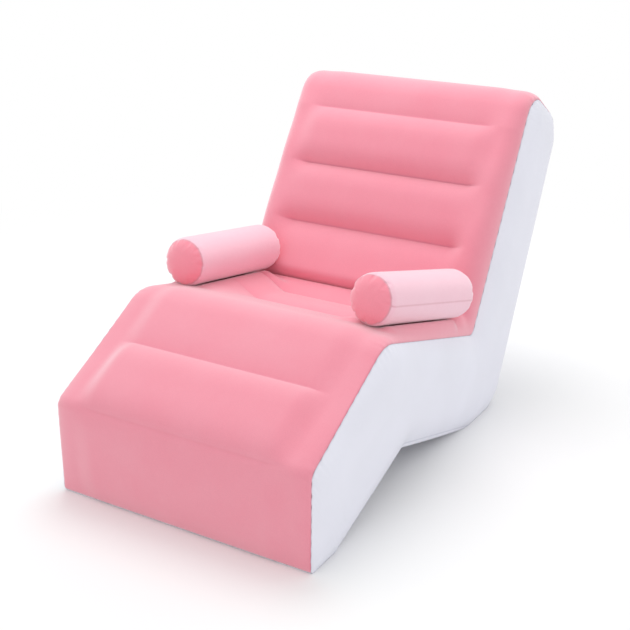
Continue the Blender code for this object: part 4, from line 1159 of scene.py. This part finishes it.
def bristle(name, points, radius):
    """One bristle: a short thread along some points, with three sides."""
    mesh = bmesh.new()
    points = [Vector(point) for point in points]
    rings = []
    for place, point in enumerate(points):
        way = (points[min(place + 1, len(points) - 1)] - points[max(place - 1, 0)]).normalized()
        side = way.orthogonal().normalized() * radius
        corners = [Matrix.Rotation(math.radians(120.0) * turn, 3, way) @ side for turn in range(3)]
        rings.append([mesh.verts.new(point + corner) for corner in corners])
    for low, high in zip(rings, rings[1:]):
        for turn in range(3):
            mesh.faces.new((low[turn], low[turn - 2], high[turn - 2], high[turn]))
    mesh.faces.new(rings[0])
    mesh.faces.new(rings[-1][::-1])
    bmesh.ops.recalc_face_normals(mesh, faces=mesh.faces)
    data = bpy.data.meshes.new(name)
    mesh.to_mesh(data)
    mesh.free()
    return add_piece(name, data)


def sheet_between(low, high):
    """A closed sheet between two grids of points."""
    rows, cells = low.shape[:2]
    count = rows * cells
    index = np.arange(count).reshape(rows, cells)
    rim = np.concatenate([index[0, :-1], index[:-1, -1], index[-1, :0:-1], index[:0:-1, 0]])
    walls = [(a, b, b + count, a + count) for a, b in zip(rim, np.roll(rim, -1))]
    mesh = bmesh.new()
    verts = [mesh.verts.new(point) for point in np.concatenate([low.reshape(-1, 3), high.reshape(-1, 3)])]
    for face in cell_faces(index):
        mesh.faces.new([verts[number] for number in face])
        mesh.faces.new([verts[number + count] for number in face[::-1]])
    for face in walls:
        mesh.faces.new([verts[number] for number in face])
    bmesh.ops.recalc_face_normals(mesh, faces=mesh.faces)
    return mesh


def add_strip(name, base, out, bristle_shape, seed, body, node_name):
    """Tape on a grid of points, with bristles on its outer face."""
    face = grid_mesh(name + "_face", base + out * TAPE_THICKNESS)
    if face.polygons[0].normal @ Vector(out[0, 0]) < 0:
        face.flip_normals()
    holder = add_piece(name + "_face", face)
    rig = holder.modifiers.new("bristles", "NODES")
    rig.node_group = bristles
    inputs = {"Bristle": bristle_shape, "Spacing": BRISTLE_SPACING, "Seed": seed, "Finish": strip_tape}
    for key, value in inputs.items():
        rig[bristle_sockets[key]] = value
    grown = bpy.data.meshes.new_from_object(holder.evaluated_get(bpy.context.evaluated_depsgraph_get()))
    bpy.data.objects.remove(holder)
    mesh = sheet_between(base, base + out * TAPE_THICKNESS)
    mesh.from_mesh(grown)
    data = bpy.data.meshes.new(name)
    mesh.to_mesh(data)
    mesh.free()
    data.materials.clear()
    data.materials.append(strip_tape)
    strip = add_piece(name, data)
    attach(strip, body)
    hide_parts(node_name)


strip_tape = tape("strip_tape", STRIP_PINK)
bristles, bristle_sockets = bristle_group()
hook_points = [(0.0, 0.0, 0.0), (0.0, 0.0, NAP_HEIGHT * 0.7)]
hook_points += [(HOOK_BEND, 0.0, NAP_HEIGHT * 0.95), (HOOK_TIP, 0.0, NAP_HEIGHT * 0.75)]
hook = bristle("hook", hook_points, HOOK_RADIUS)
loop_turns = np.linspace(0.0, math.pi, 5)
loop_points = [(LOOP_HALF * math.cos(turn), 0.0, NAP_HEIGHT * 0.9 * math.sin(turn)) for turn in loop_turns]
loop = bristle("loop", loop_points, LOOP_RADIUS)
seat_tree = BVHTree.FromObject(top_sheet, bpy.context.evaluated_depsgraph_get())
for side, (middle, turn) in rolls.items():
    along, across, up = turn.T
    places = np.linspace(-1.0, 1.0, TAPE_POINTS_ALONG) * ROLL_LENGTH * STRIP_SHARE / 2
    wide = np.linspace(-1.0, 1.0, TAPE_POINTS_ACROSS) * STRIP_WIDTH / 2
    angles = wide / ROLL_RADIUS - math.pi / 2
    ways = across * np.cos(angles)[:, None] + up * np.sin(angles)[:, None]
    out = np.broadcast_to(ways[None], (TAPE_POINTS_ALONG, TAPE_POINTS_ACROSS, 3))
    strip_grid = middle + along * places[:, None, None] + out * ROLL_RADIUS / 2
    for spot, way in zip(strip_grid.reshape(-1, 3), out.reshape(-1, 3)):
        hit = barrels[side].ray_cast(Vector(spot), Vector(way))[0]
        spot[:] = np.array(hit) + way * GAP
    label = "armrest_" + side
    add_strip(label + "_hooks", strip_grid, out, hook, HOOK_SEED, label, label + "_hook_strip")
    strip_grid = middle + along * places[:, None, None] + across * wide[None, :, None]
    for spot in strip_grid.reshape(-1, 3):
        hit = seat_tree.ray_cast(Vector(spot), Vector(-up))[0]
        spot[:] = np.array(hit) + up * GAP
    out = np.broadcast_to(up, strip_grid.shape)
    label = "seat_loop_strip_" + side
    add_strip("seat_loops_" + side, strip_grid, out, loop, LOOP_SEED, "air_chamber", label)
for shape in (hook, loop):
    bpy.data.objects.remove(shape)


# Webs
# Eight strips of plain film inside the chamber, welded across the top and the lower sheet. Their sides are cut
# in a little so that air passes from bay to bay.

WEB_WAIST = 0.030
WEB_WAVE = 0.0012
WEB_WAVE_TURNS = 60.0
WEB_ROWS = 25
WEB_THICKNESS = 0.0006
WEB_ROUGHNESS = 0.5
WEB_NAMES = ("foot", "shin", "seat_front", "seat_rear", "lumbar", "back_low", "back_middle", "back_high")

web_film = film("web_film", WEB_ROUGHNESS)
across_x = across_places()[0]
inside = np.abs(across_x) <= SEAT_WIDTH / 2 - WELD_INSET - WELD_FADE / 2
top_inner = top_grid - surface_normals(top_grid, -1.0) * (SKIN + GAP)
low_inner = low_grid - surface_normals(low_grid, 1.0) * (SKIN + GAP)
shares = np.linspace(0.0, 1.0, WEB_ROWS)[:, None]
bow = np.sin(math.pi * shares)
for station, name in zip(weld_stations, WEB_NAMES):
    top_line, low_line = top_inner[station][inside], low_inner[station][inside]
    web_grid = top_line[None] + (low_line - top_line)[None] * shares[..., None]
    web_grid[:, :, 0] *= 1.0 - WEB_WAIST * bow
    web_grid[:, :, 1] += bow * WEB_WAVE * np.sin(across_x[inside] * WEB_WAVE_TURNS + station)
    web = add_piece("web_" + name + "_film", grid_mesh("web_" + name, web_grid))
    solid = web.modifiers.new("film", "SOLIDIFY")
    solid.thickness = WEB_THICKNESS
    solid.offset = 0.0
    web.data.shade_smooth()
    web.data.materials.append(web_film)
    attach(web, "air_chamber")
    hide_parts("web_" + name)


# Main valve
# A moulded valve welded into the rear panel: a base with a collar, a threaded insert with a grip rim and a
# one-way flap, a rubber gasket between them, and a snap cap on a strap.

VALVE_SIDES = 96
FLUTED_SIDES = 144
VALVE_FLANGE_THICKNESS = 0.0026
VALVE_PROUD = 0.0010
BEVEL_WIDTH = 0.0010
BEVEL_HEIGHT = 0.0006
RIB_RADII = (0.0262, 0.0246)
RIB_WIDTH = 0.0006
RIB_HEIGHT = 0.0004
COLLAR_BORE = 0.0170
COLLAR_WALL = 0.0020
COLLAR_DEPTH = 0.0120
GASKET_WIDTH = 0.0035
GASKET_THICKNESS = 0.0012
GASKET_EDGE = 0.00045
INSERT_FLANGE_RADIUS = 0.0225
INSERT_FLANGE_THICKNESS = 0.0020
GRIP_FLUTES = 24
GRIP_DEPTH = 0.0007
THROAT_RADIUS = 0.0125
NECK_RADIUS = 0.0145
NECK_HEIGHT = 0.0070
NECK_BEAD = 0.0001
NECK_BEAD_LEVELS = (0.0022, 0.0012)
LIP_WIDTH = 0.0025
LIP_THICKNESS = 0.0015
THREAD_DEPTH = 0.0004
THREAD_PITCH = 0.0030
THREAD_MARGIN = 0.0010
FLAP_THICKNESS = 0.0010
FLAP_OVERLAP = 0.0020
FLAP_EDGE = 0.00015
CAP_SKIRT = 0.0030
CAP_WALL = 0.0020
CAP_THICKNESS = 0.0018
CAP_DISH_DEPTH = 0.0006
CAP_GATE_DEPTH = 0.0002
CAP_FLUTES = 36
CAP_FLUTE_DEPTH = 0.0003
CAP_EDGE = 0.00025
CAP_HINGE = 0.0250
CAP_STRAP_WIDTH = 0.0080
CAP_STRAP_THICKNESS = 0.0014
CAP_TAB = 0.0032
CAP_TAB_SHARE = 0.7
VINYL_WHITE = (0.790, 0.800, 0.850, 1.0)
RUBBER_BLACK = (0.030, 0.030, 0.032, 1.0)

white_vinyl = vinyl("white_vinyl", VINYL_WHITE, roughness=0.34, clear=0.0)
black_rubber = vinyl("black_rubber", RUBBER_BLACK, roughness=0.62, clear=0.0)

valve_base = bmesh.new()
flange_low = VALVE_PROUD - VALVE_FLANGE_THICKNESS
collar_outer = COLLAR_BORE + COLLAR_WALL
base_profile = [
    (COLLAR_BORE, VALVE_PROUD),
    (COLLAR_BORE, -COLLAR_DEPTH),
    (collar_outer, -COLLAR_DEPTH),
    (collar_outer, flange_low),
    (VALVE_FLANGE_RADIUS, flange_low),
    (VALVE_FLANGE_RADIUS, VALVE_PROUD - BEVEL_HEIGHT),
    (VALVE_FLANGE_RADIUS - BEVEL_WIDTH, VALVE_PROUD),
]
for rib in RIB_RADII:
    base_profile += [(rib, VALVE_PROUD), (rib - RIB_WIDTH / 2, VALVE_PROUD + RIB_HEIGHT)]
    base_profile += [(rib - RIB_WIDTH, VALVE_PROUD)]
add_turned(valve_base, base_profile, VALVE_SIDES)
moulded("valve_base", "air_chamber", valve_base, valve_place, MOULDED_EDGE, white_vinyl)

gasket = bmesh.new()
gasket_low = VALVE_PROUD + GAP
gasket_top = gasket_low + GASKET_THICKNESS
gasket_outer = COLLAR_BORE + GASKET_WIDTH
gasket_profile = [(COLLAR_BORE, gasket_low), (gasket_outer, gasket_low)]
gasket_profile += [(gasket_outer, gasket_top), (COLLAR_BORE, gasket_top)]
add_turned(gasket, gasket_profile, VALVE_SIDES)
moulded(
    "valve_gasket",
    "main_valve_gasket",
    gasket,
    valve_place,
    GASKET_EDGE,
    black_rubber,
    ending="_rubber",
)

insert = bmesh.new()
insert_seat = gasket_top + GAP
insert_low = insert_seat - COLLAR_DEPTH
shank = COLLAR_BORE - GAP
root = shank - THREAD_DEPTH
shoulder = insert_seat + INSERT_FLANGE_THICKNESS
rim = shoulder + NECK_HEIGHT
lip = THROAT_RADIUS - LIP_WIDTH
insert_profile = [(lip, insert_low), (root, insert_low)]
for ridge in range(int((COLLAR_DEPTH - 2 * THREAD_MARGIN) / THREAD_PITCH)):
    start = insert_low + THREAD_MARGIN + ridge * THREAD_PITCH
    insert_profile += [(root, start), (shank, start + THREAD_PITCH * 0.35)]
    insert_profile += [(shank, start + THREAD_PITCH * 0.5), (root, start + THREAD_PITCH * 0.85)]
insert_profile += [
    (root, insert_seat),
    (INSERT_FLANGE_RADIUS, insert_seat),
    (INSERT_FLANGE_RADIUS, shoulder),
    (NECK_RADIUS, shoulder),
    (NECK_RADIUS, rim - NECK_BEAD_LEVELS[0]),
    (NECK_RADIUS + NECK_BEAD, rim - NECK_BEAD_LEVELS[1]),
    (NECK_RADIUS, rim),
    (THROAT_RADIUS, rim),
    (THROAT_RADIUS, insert_low + LIP_THICKNESS),
    (lip, insert_low + LIP_THICKNESS),
]
add_turned(insert, insert_profile, FLUTED_SIDES, GRIP_FLUTES, GRIP_DEPTH)
cap_strap = CAP_STRAP_WIDTH / 2
lug_end = (-INSERT_FLANGE_RADIUS * 0.95, cap_strap, rim - CAP_SKIRT - GAP)
add_block(insert, (-CAP_HINGE, -cap_strap, insert_seat), lug_end)
moulded("valve_insert", "main_valve_insert", insert, valve_place, MOULDED_EDGE, white_vinyl)

flap = bmesh.new()
flap_radius = lip + FLAP_OVERLAP
flap_top = insert_low - GAP
flap_low = flap_top - FLAP_THICKNESS
flap_profile = [(0.0, flap_low), (flap_radius * 0.7, flap_low)]
flap_profile += [(flap_radius, flap_top - FLAP_THICKNESS * 0.7), (flap_radius, flap_top), (0.0, flap_top)]
add_turned(flap, flap_profile, VALVE_SIDES)
moulded("valve_flap", "main_valve_flap", flap, valve_place, FLAP_EDGE, clear_vinyl)

cap = bmesh.new()
cap_inner = NECK_RADIUS + GAP
cap_outer = cap_inner + CAP_WALL
skirt = rim - CAP_SKIRT
ceiling = rim + GAP
cap_top = ceiling + CAP_THICKNESS
cap_profile = [
    (0.0, ceiling),
    (cap_inner, ceiling),
    (cap_inner, skirt),
    (cap_outer, skirt),
    (cap_outer, cap_top - BEVEL_HEIGHT),
    (cap_outer - BEVEL_WIDTH, cap_top),
    (cap_outer * 0.74, cap_top),
    (cap_outer * 0.70, cap_top - CAP_DISH_DEPTH),
    (cap_outer * 0.30, cap_top - CAP_DISH_DEPTH),
    (cap_outer * 0.26, cap_top - CAP_GATE_DEPTH),
    (0.0, cap_top - CAP_GATE_DEPTH),
]
add_turned(cap, cap_profile, FLUTED_SIDES, CAP_FLUTES, CAP_FLUTE_DEPTH)
skirt_middle = cap_outer - CAP_WALL / 2
strap_top = skirt + CAP_STRAP_THICKNESS
add_block(cap, (-CAP_HINGE, -cap_strap, skirt), (-skirt_middle, cap_strap, strap_top))
tab_start = (skirt_middle, -cap_strap * CAP_TAB_SHARE, skirt + STRAP_STEP)
add_block(cap, tab_start, (cap_outer + CAP_TAB, cap_strap * CAP_TAB_SHARE, strap_top))
moulded("valve_cap", "main_valve_cap", cap, valve_place, CAP_EDGE, white_vinyl)


# Floor and light
# A white studio floor that runs out into white, a broad lamp overhead and to the rear, and an even light from
# all round.

FLOOR_SIZE = 40.0
FLOOR_GREY = (0.91, 0.91, 0.91, 1.0)
FLOOR_FADE = (1.0, 2.6)
WORLD_LIGHT = (0.72, 1.08)
LAMP_PLACE = Vector((-0.6, 0.7, 3.2))
LAMP_AIM = Vector((0.0, 0.0, 0.3))
LAMP_SIZE = 2.0
LAMP_POWER = 32.0


def seen(tree):
    """1 where a ray shows a surface or its mirror image, 0 where it only lights something."""
    path = node(tree, "ShaderNodeLightPath").outputs
    mirrored = reckoned(tree, "MAXIMUM", path["Is Glossy Ray"], path["Is Transmission Ray"])
    return reckoned(tree, "MAXIMUM", mirrored, path["Is Camera Ray"])


stage_floor = add_piece("floor", bpy.data.meshes.new("floor"))
floor_corners = [(x * FLOOR_SIZE, y * FLOOR_SIZE, 0.0) for x, y in ((-1, -1), (1, -1), (1, 1), (-1, 1))]
stage_floor.data.from_pydata(floor_corners, [], [(0, 1, 2, 3)])
floor_material, floor_tree, floor_shader, spot = new_material("floor")
floor_shader.inputs["Base Color"].default_value = FLOOR_GREY
floor_shader.inputs["Roughness"].default_value = 0.9
away = node(floor_tree, "ShaderNodeVectorMath", {0: spot}, operation="LENGTH").outputs["Value"]
limits = {"Value": away, "From Min": FLOOR_FADE[0], "From Max": FLOOR_FADE[1]}
fade = node(floor_tree, "ShaderNodeMapRange", limits, interpolation_type="SMOOTHSTEP").outputs[0]
share = reckoned(floor_tree, "MULTIPLY", fade, seen(floor_tree))
glow = node(floor_tree, "ShaderNodeEmission", {"Color": (1.0, 1.0, 1.0, 1.0), "Strength": 1.0}).outputs[0]
faded = node(floor_tree, "ShaderNodeMixShader", {0: share, 1: floor_shader.outputs[0], 2: glow}).outputs[0]
floor_tree.links.new(faded, floor_tree.nodes["Material Output"].inputs["Surface"])
stage_floor.data.materials.append(floor_material)

world = bpy.data.worlds.new("studio")
scene.world = world
world.use_nodes = True
world_tree = world.node_tree
background = world_tree.nodes["Background"]
background.inputs["Color"].default_value = (1.0, 1.0, 1.0, 1.0)
sky_way = node(world_tree, "ShaderNodeTexCoord").outputs["Generated"]
height = node(world_tree, "ShaderNodeSeparateXYZ", {0: sky_way}).outputs["Z"]
sky = spread(world_tree, height, *WORLD_LIGHT, start=0.0, end=1.0)
strength = spread(world_tree, seen(world_tree), low=sky, high=1.0, start=0.0, end=1.0)
world_tree.links.new(strength, background.inputs["Strength"])

lamp = bpy.data.objects.new("overhead", bpy.data.lights.new("overhead", "AREA"))
lamp.data.shape = "DISK"
lamp.data.size = LAMP_SIZE
lamp.data.energy = LAMP_POWER
scene.collection.objects.link(lamp)
lamp.location = LAMP_PLACE
lamp.rotation_mode = "QUATERNION"
lamp.rotation_quaternion = (LAMP_AIM - LAMP_PLACE).to_track_quat("-Z", "Y")

scene.view_settings.view_transform = "Standard"
